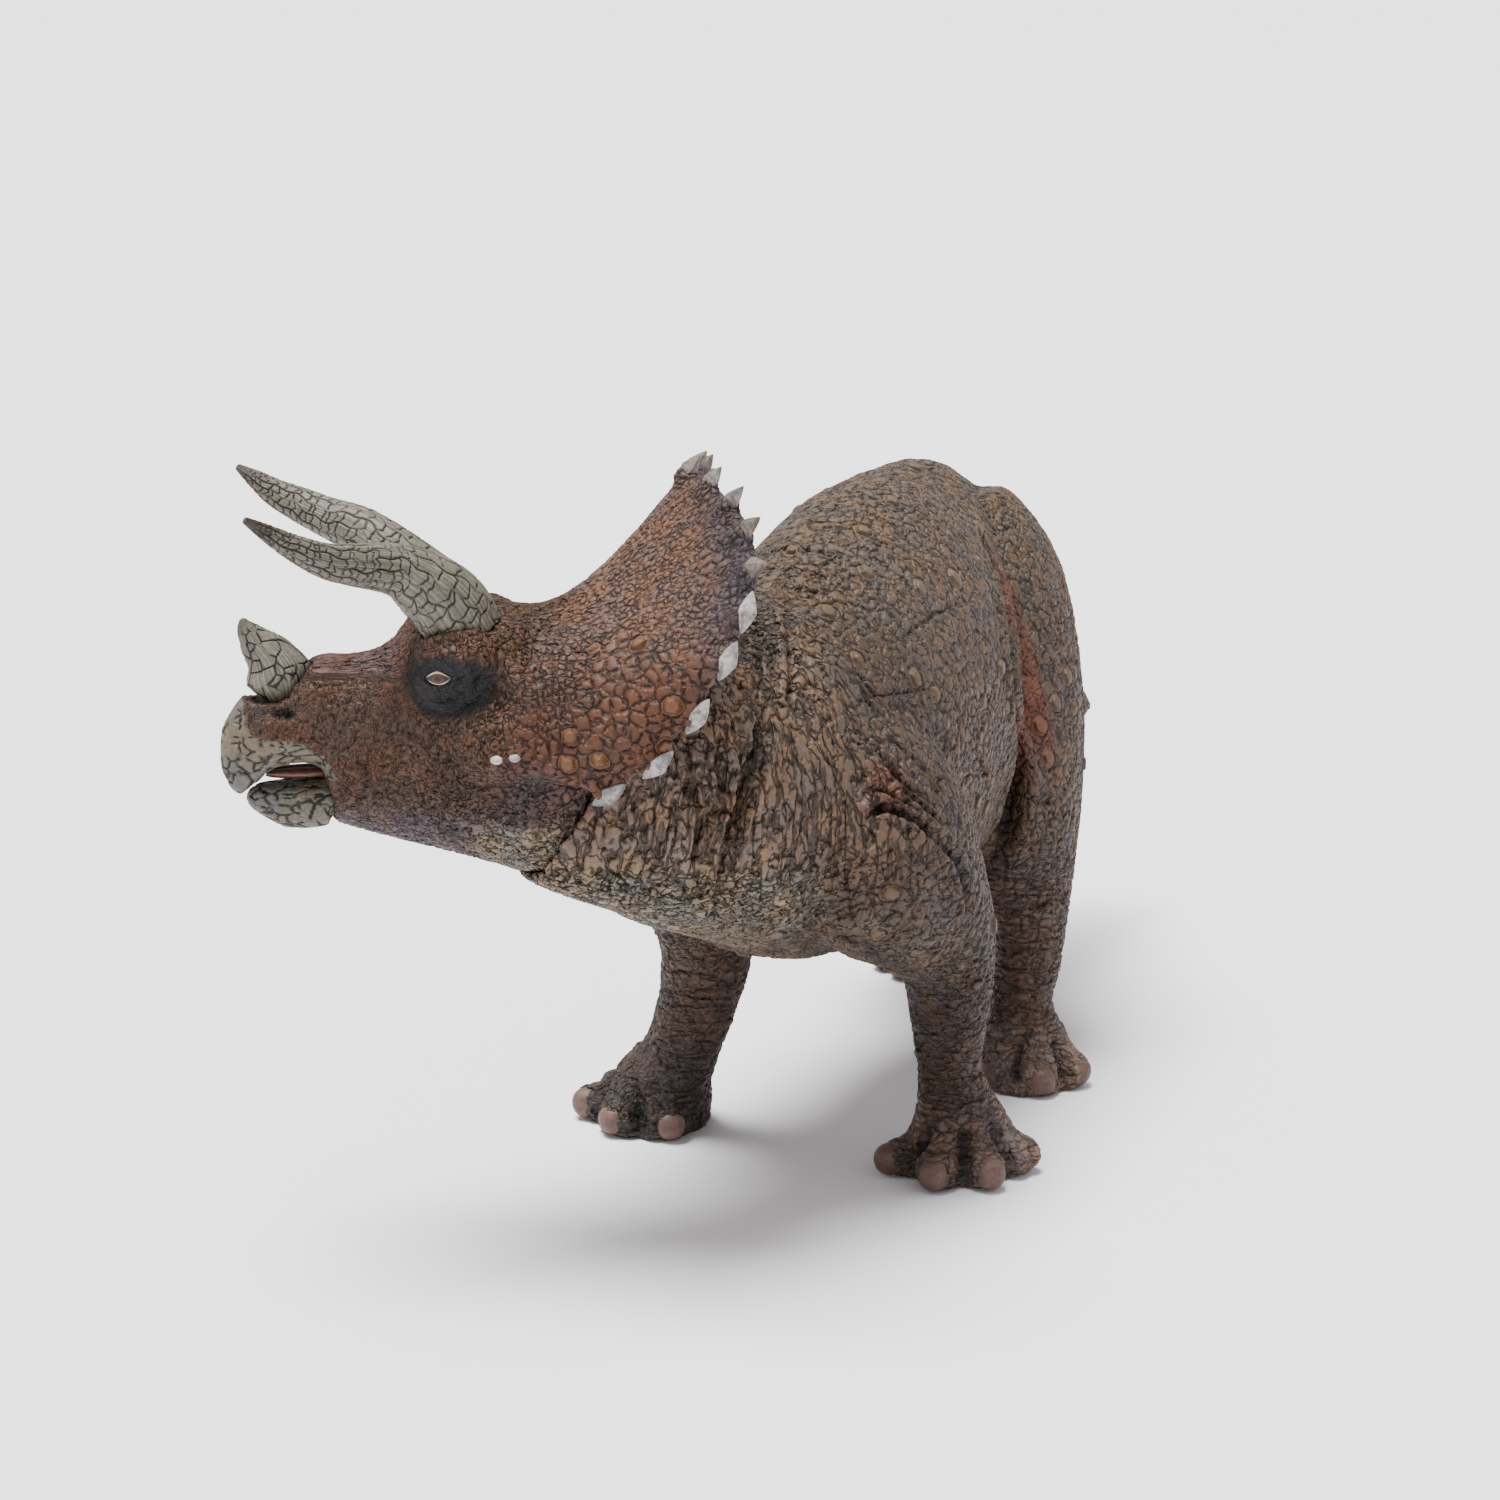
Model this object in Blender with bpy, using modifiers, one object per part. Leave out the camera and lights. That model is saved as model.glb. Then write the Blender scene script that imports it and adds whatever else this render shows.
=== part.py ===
"""Toy dinosaur figure: a three-horned plant eater in painted PVC, walking, head turned to its right.

Thirteen mouldings that are glued together. A hollow body in two halves carries everything: four legs on
round spigots, a tail, and a head with its frill. Two brow horns, a nose horn, a lower jaw and a tongue
are set into the head. Metres, +Z up. The figure faces -Y and its own left is +X.
"""

import math

import bmesh
import bpy
import numpy as np
from mathutils import Matrix, Vector

# Body: overall sizes
body_length = 0.100
body_width = 0.048
body_depth = 0.065
wall_thickness = 0.0034

# Legs
leg_height = 0.060
belly_clearance_share = 0.467
leg_girth = 0.024
toe_length = 0.0042
toe_radius = 0.0031
sole_cut = 0.0004

# Head, in its own frame: forward, left and up from a point between the eyes
head_place_shares = (-0.508, -0.82, 0.749)
head_turn_degrees = 55
skull_length = 0.050
skull_width = 0.031
frill_span = 0.050
frill_thickness = 0.0026
brow_horn_length = 0.040
nose_horn_height = 0.010
jaw_width = 0.031

# Frill studs
stud_length = 0.0030
stud_radius = 0.0017

# Fits and fasteners
clearance = 0.0003
spigot_radius = 0.0052
spigot_length = 0.0115
boss_radius = 0.0085
pin_radius = 0.0015
pin_length = 0.0060
tail_spigot_radius = 0.0042
tail_spigot_length = 0.0090
jaw_tang_radius = 0.0020
jaw_tang_length = 0.0050
overrun = 0.200

# Meshing
voxel = 0.0011
fine_voxel = 0.00075
leg_triangles = 800
head_triangles = 2700
sharp_degrees = 50
nose_horn_flat_share = 0.8
body_roundness = (1.8, 2.15)
skull_roundness = (2.25, 2.25)
jaw_roundness = (2.4, 2.4)

# Stations along the body and tail: across, along, height, half width, half height
body_shares = (
    (-0.323, -0.8, 0.549, 0.229, 0.174),
    (-0.219, -0.735, 0.549, 0.302, 0.235),
    (-0.115, -0.65, 0.545, 0.344, 0.29),
    (-0.042, -0.56, 0.506, 0.371, 0.309),
    (0.0, -0.47, 0.487, 0.392, 0.36),
    (-0.01, -0.34, 0.469, 0.433, 0.427),
    (-0.021, -0.18, 0.484, 0.451, 0.48),
    (-0.042, -0.03, 0.507, 0.449, 0.509),
    (-0.065, 0.1, 0.512, 0.41, 0.502),
    (-0.089, 0.22, 0.526, 0.348, 0.482),
    (-0.122, 0.34, 0.521, 0.32, 0.418),
    (-0.138, 0.46, 0.499, 0.285, 0.316),
    (-0.158, 0.58, 0.452, 0.24, 0.225),
    (-0.166, 0.68, 0.386, 0.195, 0.168),
    (-0.17, 0.77, 0.32, 0.16, 0.132),
    (-0.17, 0.86, 0.254, 0.126, 0.1),
    (-0.168, 0.94, 0.2, 0.09, 0.071),
    (-0.166, 1.01, 0.158, 0.056, 0.044),
    (-0.165, 1.06, 0.134, 0.03, 0.023),
    (-0.165, 1.085, 0.125, 0.012, 0.009),
)

# Legs: across and along as shares of the body, height of the leg height, two half widths of the girth
front_left_shares = (
    (0.188, -0.39, 1.133, 0.333, 0.5),
    (0.25, -0.39, 0.983, 0.479, 0.667),
    (0.323, -0.37, 0.817, 0.521, 0.688),
    (0.404, -0.305, 0.667, 0.4, 0.47),
    (0.442, -0.262, 0.533, 0.29, 0.32),
    (0.442, -0.25, 0.4, 0.242, 0.263),
    (0.433, -0.24, 0.267, 0.196, 0.208),
    (0.444, -0.235, 0.183, 0.217, 0.233),
    (0.465, -0.233, 0.1, 0.308, 0.325),
    (0.479, -0.23, -0.033, 0.358, 0.375),
)
front_right_shares = (
    (-0.229, -0.36, 1.133, 0.312, 0.458),
    (-0.281, -0.35, 0.983, 0.417, 0.583),
    (-0.312, -0.34, 0.817, 0.438, 0.562),
    (-0.302, -0.325, 0.667, 0.358, 0.417),
    (-0.283, -0.31, 0.533, 0.292, 0.317),
    (-0.312, -0.3, 0.4, 0.258, 0.271),
    (-0.375, -0.285, 0.267, 0.233, 0.242),
    (-0.423, -0.275, 0.183, 0.242, 0.25),
    (-0.485, -0.265, 0.1, 0.317, 0.333),
    (-0.531, -0.26, -0.033, 0.367, 0.379),
)
hind_left_shares = (
    (0.015, 0.31, 1.45, 0.19, 0.32),
    (0.035, 0.31, 1.36, 0.32, 0.52),
    (0.08, 0.31, 1.22, 0.43, 0.68),
    (0.125, 0.3, 1.033, 0.479, 0.729),
    (0.177, 0.27, 0.85, 0.479, 0.708),
    (0.245, 0.225, 0.683, 0.41, 0.615),
    (0.292, 0.205, 0.533, 0.325, 0.49),
    (0.325, 0.19, 0.4, 0.255, 0.33),
    (0.34, 0.17, 0.283, 0.225, 0.25),
    (0.333, 0.155, 0.207, 0.204, 0.217),
    (0.354, 0.148, 0.108, 0.292, 0.308),
    (0.375, 0.145, -0.033, 0.342, 0.354),
)
hind_right_shares = (
    (-0.236, 0.31, 1.43, 0.19, 0.32),
    (-0.25, 0.32, 1.34, 0.32, 0.52),
    (-0.292, 0.33, 1.2, 0.438, 0.688),
    (-0.333, 0.35, 1.033, 0.479, 0.729),
    (-0.36, 0.385, 0.85, 0.458, 0.667),
    (-0.37, 0.435, 0.683, 0.408, 0.562),
    (-0.368, 0.5, 0.533, 0.333, 0.417),
    (-0.364, 0.563, 0.383, 0.263, 0.3),
    (-0.362, 0.598, 0.25, 0.217, 0.233),
    (-0.362, 0.605, 0.183, 0.225, 0.242),
    (-0.366, 0.606, 0.1, 0.3, 0.317),
    (-0.375, 0.604, -0.033, 0.35, 0.367),
)

# Toe tips on the ground: across and along as shares of the body
front_left_toe_shares = (
    (0.308, -0.312),
    (0.477, -0.345),
    (0.621, -0.303),
    (0.677, -0.21),
)
front_right_toe_shares = (
    (-0.735, -0.29),
    (-0.573, -0.345),
    (-0.39, -0.325),
    (-0.729, -0.205),
)
hind_left_toe_shares = (
    (0.304, 0.084),
    (0.467, 0.083),
    (0.55, 0.155),
    (0.219, 0.125),
)
hind_right_toe_shares = (
    (-0.271, 0.519),
    (-0.396, 0.512),
    (-0.515, 0.549),
    (-0.204, 0.569),
)

# Skull stations: forward, top and bottom as shares of the skull length, half width of its width
skull_shares = (
    (0.586, -0.088, -0.188, 0.023),
    (0.572, -0.056, -0.224, 0.055),
    (0.55, -0.024, -0.254, 0.081),
    (0.526, 0.01, -0.264, 0.1),
    (0.5, 0.026, -0.24, 0.123),
    (0.47, 0.04, -0.202, 0.145),
    (0.42, 0.06, -0.178, 0.171),
    (0.37, 0.086, -0.172, 0.197),
    (0.328, 0.104, -0.184, 0.216),
    (0.304, 0.108, -0.328, 0.223),
    (0.254, 0.102, -0.346, 0.245),
    (0.186, 0.11, -0.366, 0.284),
    (0.14, 0.134, -0.378, 0.323),
    (0.104, 0.184, -0.388, 0.355),
    (0.06, 0.232, -0.4, 0.394),
    (0, 0.256, -0.416, 0.426),
    (-0.08, 0.248, -0.44, 0.465),
    (-0.16, 0.216, -0.468, 0.497),
    (-0.24, 0.2, -0.472, 0.5),
    (-0.32, 0.16, -0.44, 0.452),
    (-0.38, 0.08, -0.36, 0.323),
)

# Lower jaw stations, read in the same way
jaw_shares = (
    (0.524, -0.252, -0.272, 0.016),
    (0.512, -0.232, -0.286, 0.052),
    (0.484, -0.22, -0.308, 0.09),
    (0.43, -0.216, -0.34, 0.129),
    (0.37, -0.21, -0.344, 0.158),
    (0.312, -0.208, -0.336, 0.177),
)

# Frill, middle row first, each from its root to the rim: forward, left and up
frill_shares = (
    ((-0.08, 0, 0.245), (-0.24, 0, 0.214), (-0.4, 0, 0.312), (-0.61, 0, 0.544)),
    ((-0.09, 0.12, 0.222), (-0.25, 0.12, 0.19), (-0.42, 0.13, 0.29), (-0.646, 0.13, 0.534)),
    ((-0.1, 0.21, 0.18), (-0.26, 0.22, 0.155), (-0.45, 0.24, 0.262), (-0.68, 0.25, 0.506)),
    ((-0.11, 0.27, 0.13), (-0.28, 0.3, 0.116), (-0.47, 0.34, 0.222), (-0.7, 0.36, 0.456)),
    ((-0.12, 0.304, 0.076), (-0.28, 0.35, 0.066), (-0.476, 0.41, 0.164), (-0.7, 0.44, 0.376)),
    ((-0.13, 0.324, 0.02), (-0.28, 0.38, 0.012), (-0.466, 0.45, 0.096), (-0.68, 0.49, 0.28)),
    ((-0.14, 0.334, -0.034), (-0.27, 0.39, -0.04), (-0.436, 0.464, 0.026), (-0.632, 0.5, 0.166)),
    ((-0.14, 0.34, -0.08), (-0.256, 0.39, -0.086), (-0.394, 0.46, -0.044), (-0.562, 0.48, 0.028)),
    ((-0.14, 0.34, -0.12), (-0.24, 0.384, -0.126), (-0.352, 0.436, -0.108), (-0.47, 0.446, -0.096)),
    ((-0.15, 0.33, -0.16), (-0.21, 0.36, -0.166), (-0.28, 0.386, -0.172), (-0.356, 0.4, -0.178)),
)

# Horns: roots in shares of the skull length, then forward, left, up and radius in shares of the horn
brow_horn_root_share = (-0.04, 0.134, 0.176)
brow_horn_left_shares = (
    (0.0, 0.0, 0.0, 0.115),
    (0.0475, 0.0125, 0.0775, 0.1225),
    (0.1012, 0.0325, 0.14, 0.1125),
    (0.1675, 0.0525, 0.1888, 0.095),
    (0.2337, 0.0775, 0.2225, 0.08),
    (0.355, 0.1625, 0.255, 0.065),
    (0.435, 0.2225, 0.28, 0.055),
    (0.515, 0.2625, 0.3212, 0.0437),
    (0.58, 0.2875, 0.3625, 0.0325),
    (0.63, 0.3075, 0.3975, 0.0225),
    (0.675, 0.3275, 0.43, 0.01),
)
brow_horn_right_shares = (
    (0.0125, 0.0, -0.03, 0.115),
    (0.06, 0.0125, 0.0375, 0.1225),
    (0.1025, 0.03, 0.08, 0.115),
    (0.1525, 0.05, 0.1275, 0.105),
    (0.215, 0.08, 0.18, 0.095),
    (0.27, 0.1175, 0.2225, 0.085),
    (0.32, 0.155, 0.25, 0.0775),
    (0.415, 0.2175, 0.2825, 0.065),
    (0.4925, 0.2575, 0.315, 0.0575),
    (0.5675, 0.285, 0.35, 0.0462),
    (0.63, 0.3075, 0.3925, 0.0312),
    (0.6875, 0.33, 0.4325, 0.0105),
)
nose_horn_root_share = (0.42, 0, 0)
nose_horn_shares = (
    (0, 0, 0, 0.46),
    (0.04, 0, 0.3, 0.43),
    (0.14, 0, 0.5, 0.33),
    (0.3, 0, 0.7, 0.23),
    (0.42, 0, 0.88, 0.13),
    (0.47, 0, 1, 0.04),
)

# Tongue, and the lumps on each side of the head: brow, horn root, eye, cheek and cheek spikes
tongue_centre_shares = (0.37, 0, -0.195)
tongue_radius_shares = (0.11, 0.052, 0.014)
lump_shares = (
    (-0.02, 0.2, 0.13, 0.125, 0.1, 0.085),
    (-0.1, 0.15, 0.135, 0.11, 0.11, 0.085),
    (0.052, 0.215, 0.084, 0.068, 0.05, 0.056),
    (-0.12, 0.27, -0.08, 0.14, 0.075, 0.1),
    (-0.094, 0.34, -0.108, 0.024, 0.022, 0.022),
    (-0.138, 0.345, -0.104, 0.024, 0.022, 0.022),
)

# Paint on each part: colour and roughness
paints = {
    "torso_shell_left": ("5c4d3d", 0.6),
    "torso_shell_right": ("5a4b3c", 0.6),
    "head": ("704c38", 0.6),
    "lower_jaw": ("7c7a66", 0.55),
    "tongue": ("8a5a4a", 0.5),
    "brow_horn_left": ("86836c", 0.5),
    "brow_horn_right": ("84816b", 0.5),
    "nose_horn": ("828069", 0.5),
    "front_leg_left": ("57483a", 0.6),
    "front_leg_right": ("554638", 0.6),
    "hind_leg_left": ("594a3b", 0.6),
    "hind_leg_right": ("564739", 0.6),
    "tail": ("5b4b3c", 0.6),
}

# Where the parts are fixed: shares of the body's own sizes
spigot_shares = {
    "front_leg_left": (0.25, -0.37, 0.35),
    "front_leg_right": (-0.26, -0.34, 0.33),
    "hind_leg_left": (0.08, 0.31, 0.50),
    "hind_leg_right": (-0.28, 0.34, 0.50),
}
cavity_share = (-0.44, 0.52)
tail_cut_share = 0.72
pin_shares = ((-0.555, 0.74), (-0.555, 0.33), (0.60, 0.565), (0.60, 0.315))


def clear_scene():
    for thing in list(bpy.data.objects):
        bpy.data.objects.remove(thing, do_unlink=True)


def new_collection(name, hidden=False):
    made = bpy.data.collections.new(name)
    bpy.context.scene.collection.children.link(made)
    made.hide_render = hidden
    return made


clear_scene()
figure_parts = new_collection("toy_dinosaur")
helpers = new_collection("cutters_and_blanks", hidden=True)


def painted_pvc(name, hex_colour, roughness):
    """Soft PVC under matt paint: one plain colour here."""
    made = bpy.data.materials.new(name)
    made.use_nodes = True
    channels = [int(hex_colour[i : i + 2], 16) / 255 for i in (0, 2, 4)]
    linear = [c / 12.92 if c <= 0.04045 else ((c + 0.055) / 1.055) ** 2.4 for c in channels]
    shader = made.node_tree.nodes["Principled BSDF"]
    shader.inputs["Base Color"].default_value = (*linear, 1)
    shader.inputs["Roughness"].default_value = roughness
    shader.inputs["Metallic"].default_value = 0
    made.diffuse_color = (*linear, 1)
    return made


def blank(name, mesh):
    """A helper object: hidden from renders, kept apart from the parts."""
    made = bpy.data.objects.new(name, mesh)
    helpers.objects.link(made)
    made.hide_render = True
    made.display_type = "WIRE"
    return made


def baked(thing):
    """The object's mesh with its modifiers applied."""
    bpy.context.view_layer.update()
    graph = bpy.context.evaluated_depsgraph_get()
    return bpy.data.meshes.new_from_object(thing.evaluated_get(graph))


def smooth_rows(rows, steps):
    """Rows read along a smooth curve through the given rows, with some steps between each pair."""
    rows = np.array(rows, float)
    ends = np.vstack([2 * rows[0] - rows[1], rows, 2 * rows[-1] - rows[-2]])
    out = []
    for i in range(1, len(ends) - 2):
        before, here, there, after = ends[i - 1 : i + 3]
        for t in np.arange(steps) / steps:
            out.append(
                here
                + (there - before) * t / 2
                + (before * 2 - here * 5 + there * 4 - after) * t * t / 2
                + (here * 3 - before - there * 3 + after) * t**3 / 2
            )
    out.append(ends[-2])
    return np.array(out)


def loft(name, rings):
    """A closed skin over rings of points, capped by a point in the middle of each end ring."""
    shape = bmesh.new()
    rows = [[shape.verts.new(point) for point in ring] for ring in rings]
    for first, second in zip(rows, rows[1:]):
        for i in range(len(first)):
            j = (i + 1) % len(first)
            shape.faces.new((first[i], first[j], second[j], second[i]))
    for row in (rows[0], rows[-1]):
        middle = shape.verts.new(sum((v.co for v in row), Vector()) / len(row))
        for i in range(len(row)):
            shape.faces.new((row[i], row[(i + 1) % len(row)], middle))
    bmesh.ops.recalc_face_normals(shape, faces=shape.faces)
    mesh = bpy.data.meshes.new(name)
    shape.to_mesh(mesh)
    shape.free()
    return blank(name, mesh)


def tube(name, stations, sides, roundness=(2.0, 2.0), grow=0.0, across=(1, 0, 0), upright=False):
    """A loft along a path. A station is x, y, z and two half widths: across, and square to that.

    Roundness is 2 for an ellipse, given for the upper and the lower half.
    """
    centres = np.array([s[:3] for s in stations])
    ways = np.gradient(centres, axis=0)
    across = Vector(across)
    rings = []
    for station, way in zip(stations, ways):
        way = Vector((-1, 0, 0)) if upright else Vector(way).normalized()
        side = (across - way * way.dot(across)).normalized()
        other = side.cross(way).normalized()
        ring = []
        for k in range(sides):
            angle = math.tau * k / sides
            c, s = math.cos(angle), math.sin(angle)
            power = 2 / roundness[0 if s > 0 else 1]
            c, s = math.copysign(abs(c) ** power, c), math.copysign(abs(s) ** power, s)
            reach = side * c * (station[3] + grow) + other * s * (station[4] + grow)
            ring.append(Vector(station[:3]) + reach)
        rings.append(ring)
    return loft(name, rings)


def ellipsoid(name, centre, radii, turn=None):
    mesh = bpy.data.meshes.new(name)
    shape = bmesh.new()
    bmesh.ops.create_uvsphere(shape, u_segments=16, v_segments=10, radius=1)
    shape.to_mesh(mesh)
    shape.free()
    mesh.transform(Matrix.Diagonal((*radii, 1)))
    mesh.transform(turn or Matrix())
    mesh.transform(Matrix.Translation(centre))
    return blank(name, mesh)


def rod(name, start, end, radius, tip_radius=None, segments=20):
    """A round rod or cone from start to end."""
    start, end = Vector(start), Vector(end)
    shape = bmesh.new()
    bmesh.ops.create_cone(
        shape,
        cap_ends=True,
        segments=segments,
        radius1=radius,
        radius2=radius if tip_radius is None else tip_radius,
        depth=(end - start).length,
    )
    turn = (end - start).to_track_quat("Z", "Y").to_matrix().to_4x4()
    mesh = bpy.data.meshes.new(name)
    shape.to_mesh(mesh)
    shape.free()
    mesh.transform(Matrix.Translation((start + end) / 2) @ turn)
    return blank(name, mesh)


def block(name, low, high):
    shape = bmesh.new()
    bmesh.ops.create_cube(shape, size=1)
    mesh = bpy.data.meshes.new(name)
    shape.to_mesh(mesh)
    shape.free()
    low, high = Vector(low), Vector(high)
    mesh.transform(Matrix.Translation((low + high) / 2) @ Matrix.Diagonal((*(high - low), 1)))
    return blank(name, mesh)


def combine(thing, operation, others):
    """The object's mesh after Boolean steps with the others, one at a time."""
    for other in others:
        step = thing.modifiers.new(operation.lower() + "_" + other.name, "BOOLEAN")
        step.operation = operation
        step.object = other
    mesh = baked(thing)
    thing.modifiers.clear()
    thing.data = mesh
    return thing


def melted(name, pieces, size, triangles, rounds=3):
    """One soft skin round closed shapes: remeshed, smoothed and thinned to about so many triangles."""
    shape = bmesh.new()
    for piece in pieces:
        shape.from_mesh(piece.data)
    mesh = bpy.data.meshes.new(name)
    shape.to_mesh(mesh)
    shape.free()
    made = blank(name, mesh)
    remesh = made.modifiers.new("one_skin", "REMESH")
    remesh.mode = "VOXEL"
    remesh.voxel_size = size
    relax = made.modifiers.new("relax", "SMOOTH")
    relax.iterations = rounds
    relax.factor = 0.5
    made.modifiers.new("triangles", "TRIANGULATE")
    made.data = baked(made)
    made.modifiers.clear()
    thin = made.modifiers.new("thin", "DECIMATE")
    thin.ratio = min(1, triangles / len(made.data.polygons))
    made.data = baked(made)
    made.modifiers.clear()
    return made


def grown(thing, by):
    """A copy pushed out along its normals, as a cutter that leaves a gap."""
    made = blank(thing.name + "_grown", thing.data.copy())
    push = made.modifiers.new("push", "DISPLACE")
    push.strength = by
    push.mid_level = 0
    made.data = baked(made)
    made.modifiers.clear()
    return made


def body_point(shares):
    across, along, height = shares
    up = belly_clearance_share * leg_height + height * body_depth
    return Vector((across * body_width, along * body_length, up))


def body_stations():
    rows = [
        (*body_point(row[:3]), row[3] * body_width, row[4] * body_depth) for row in body_shares
    ]
    return smooth_rows(rows, 2)


def body_blank(name, grow=0.0, start=-1.0, end=2.0):
    stations = [s for s in body_stations() if start <= s[1] / body_length <= end]
    return tube(name, stations, 22, body_roundness, grow)


def leg_blank(name, shares, toe_shares):
    """A leg with its foot and toes as one soft skin, cut flat at the sole."""
    rows = [
        (x * body_width, y * body_length, z * leg_height, a * leg_girth, b * leg_girth)
        for x, y, z, a, b in shares
    ]
    pieces = [tube(name + "_limb", smooth_rows(rows, 2), 20)]
    foot = Vector((rows[-1][0], rows[-1][1], 0))
    for n, (x, y) in enumerate(toe_shares):
        tip = Vector((x * body_width, y * body_length, 0))
        way = (tip - foot).normalized()
        centre = tip - way * toe_length / 2 + Vector((0, 0, toe_radius - sole_cut))
        turn = way.to_track_quat("X", "Z").to_matrix().to_4x4()
        radii = (toe_length, toe_radius, toe_radius)
        pieces.append(ellipsoid(f"{name}_toe_{n}", centre, radii, turn))
    skin = melted(name + "_skin", pieces, voxel, leg_triangles)
    ground = block(name + "_ground", (-overrun, -overrun, -overrun), (overrun, overrun, 0))
    return combine(skin, "DIFFERENCE", [ground])


def in_head(name, stations, sides=14, roundness=(2.0, 2.0), upright=False):
    """A loft whose stations are in the head's frame, moved to its place."""
    made = tube(name, stations, sides, roundness, 0.0, (0, 1, 0), upright)
    made.data.transform(head_place)
    return made


def head_ellipsoid(name, centre, radii):
    made = ellipsoid(name, centre, radii)
    made.data.transform(head_place)
    return made


def deep_stations(shares, width):
    """Stations of an upright loft from rows of forward, top, bottom and half width."""
    rows = []
    for forward, top, bottom, half in shares:
        middle = (top + bottom) / 2 * skull_length
        rows.append(
            (forward * skull_length, 0, middle, half * width, (top - bottom) / 2 * skull_length)
        )
    return rows


def frill_points():
    """The frill's outer surface: a row of points for each station, right rim to left rim."""
    half = []
    for row in frill_shares:
        root = Vector(row[0])
        half.append([root * skull_length + (Vector(point) - root) * frill_span for point in row])
    right = [[(f, -y, z) for f, y, z in row] for row in half[:0:-1]]
    rows = np.array([np.ravel(row) for row in right + half])
    rows = smooth_rows(rows, 2)
    return [smooth_rows(row.reshape(-1, 3), 3) for row in rows]


def frill_blank():
    """The shield behind the head: an open sheet with a wall behind it."""
    rows = frill_points()
    shape = bmesh.new()
    grid = [[shape.verts.new(point) for point in row] for row in rows]
    for first, second in zip(grid, grid[1:]):
        for i in range(len(first) - 1):
            shape.faces.new((first[i], first[i + 1], second[i + 1], second[i]))
    mesh = bpy.data.meshes.new("frill_sheet")
    shape.to_mesh(mesh)
    shape.free()
    made = blank("frill_sheet", mesh)
    wall = made.modifiers.new("wall", "SOLIDIFY")
    wall.thickness = frill_thickness
    wall.offset = 1
    made.data = baked(made)
    made.modifiers.clear()
    made.data.transform(head_place)
    return made


def stud_blanks():
    """The pointed studs along the frill's rim."""
    made = []
    rows = frill_points()
    for n, row in enumerate(rows[::2]):
        rim = Vector(row[-1])
        way = (rim - Vector(row[-2])).normalized()
        foot, tip = rim - way * stud_radius, rim + way * stud_length
        stud = rod(f"stud_{n}", foot, tip, stud_radius, stud_radius / 4, 10)
        stud.data.transform(head_place)
        made.append(stud)
    return made


def horn(name, root, shares, length, side=1, flat_share=1.0):
    """A horn that starts inside the skull and tapers along its curve."""
    rows = []
    for forward, left, up, radius in shares:
        place = Vector(root) * skull_length + Vector((forward, left, up)) * length
        rows.append((place.x, side * place.y, place.z, radius * length * flat_share, radius * length))
    return in_head(name, smooth_rows(rows, 2), 12)


def spigot_rod(name, leg, radius, extra=0.0):
    """A rod on the axis of a leg's spigot, from inside the body outwards."""
    inner = body_point(spigot_shares[leg])
    way = Vector((1 if inner.x > spine_x(inner.y) else -1, 0, 0))
    return rod(name, inner - way * extra, inner + way * (spigot_length + extra), radius)


def spine_x(along):
    stations = body_stations()
    return float(np.interp(along, stations[:, 1], stations[:, 0]))


def spine_z(along):
    stations = body_stations()
    return float(np.interp(along, stations[:, 1], stations[:, 2]))


def side_cutter(name, side):
    """Everything on one side of the spine, kept half a clearance away from it."""
    rings = []
    stations = body_stations()
    rows = [(stations[0][0], -overrun)]
    rows += [(s[0], s[1]) for s in stations]
    rows += [(stations[-1][0], overrun)]
    for x, y in rows:
        near = x - side * clearance / 2
        rings.append(
            [
                Vector((near, y, -overrun)),
                Vector((near, y, overrun)),
                Vector((side * overrun, y, overrun)),
                Vector((side * overrun, y, -overrun)),
            ]
        )
    return loft(name, rings)


# Head and what is set into it
head_turn = Matrix.Rotation(math.radians(270 - head_turn_degrees), 4, "Z")
head_place = Matrix.Translation(body_point(head_place_shares)) @ head_turn
nose_curve = (nose_horn_root_share, nose_horn_shares, nose_horn_height)
horn_blanks = {
    "brow_horn_left": horn(
        "horn_left_blank", brow_horn_root_share, brow_horn_left_shares, brow_horn_length
    ),
    "brow_horn_right": horn(
        "horn_right_blank", brow_horn_root_share, brow_horn_right_shares, brow_horn_length, -1
    ),
    "nose_horn": horn("nose_horn_blank", *nose_curve, 1, nose_horn_flat_share),
}

jaw = in_head("jaw_blank", deep_stations(jaw_shares, jaw_width), 14, jaw_roundness, True)
back = jaw_shares[-1]
tang_place = Vector((back[0] * skull_length, 0, (back[1] + back[2]) / 2 * skull_length))
into_jaw, into_head = Vector((jaw_tang_radius, 0, 0)), Vector((jaw_tang_length, 0, 0))
tang = rod("tang", tang_place + into_jaw, tang_place - into_head, jaw_tang_radius)
tang.data.transform(head_place)
jaw = combine(jaw, "UNION", [tang])
tongue = head_ellipsoid(
    "tongue_blank",
    [share * skull_length for share in tongue_centre_shares],
    [share * skull_length for share in tongue_radius_shares],
)
tongue_gap = grown(tongue, clearance)
jaw_gap = grown(jaw, clearance)
tongue = combine(tongue, "DIFFERENCE", [jaw_gap])

skull = in_head("skull_blank", deep_stations(skull_shares, skull_width), 24, skull_roundness, True)
lumps = [skull, frill_blank(), *stud_blanks()]
for side in (1, -1):
    for n, (f, y, z, a, b, c) in enumerate(lump_shares):
        centre = (f * skull_length, side * y * skull_length, z * skull_length)
        radii = (a * skull_length, b * skull_length, c * skull_length)
        lumps.append(head_ellipsoid(f"lump_{n}_{side}", centre, radii))
head = melted("head_skin", lumps, fine_voxel, head_triangles)
head_gap = grown(head, clearance)
sockets = [grown(horn, clearance) for horn in horn_blanks.values()]
head = combine(head, "DIFFERENCE", [*sockets, jaw_gap, tongue_gap])

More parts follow.
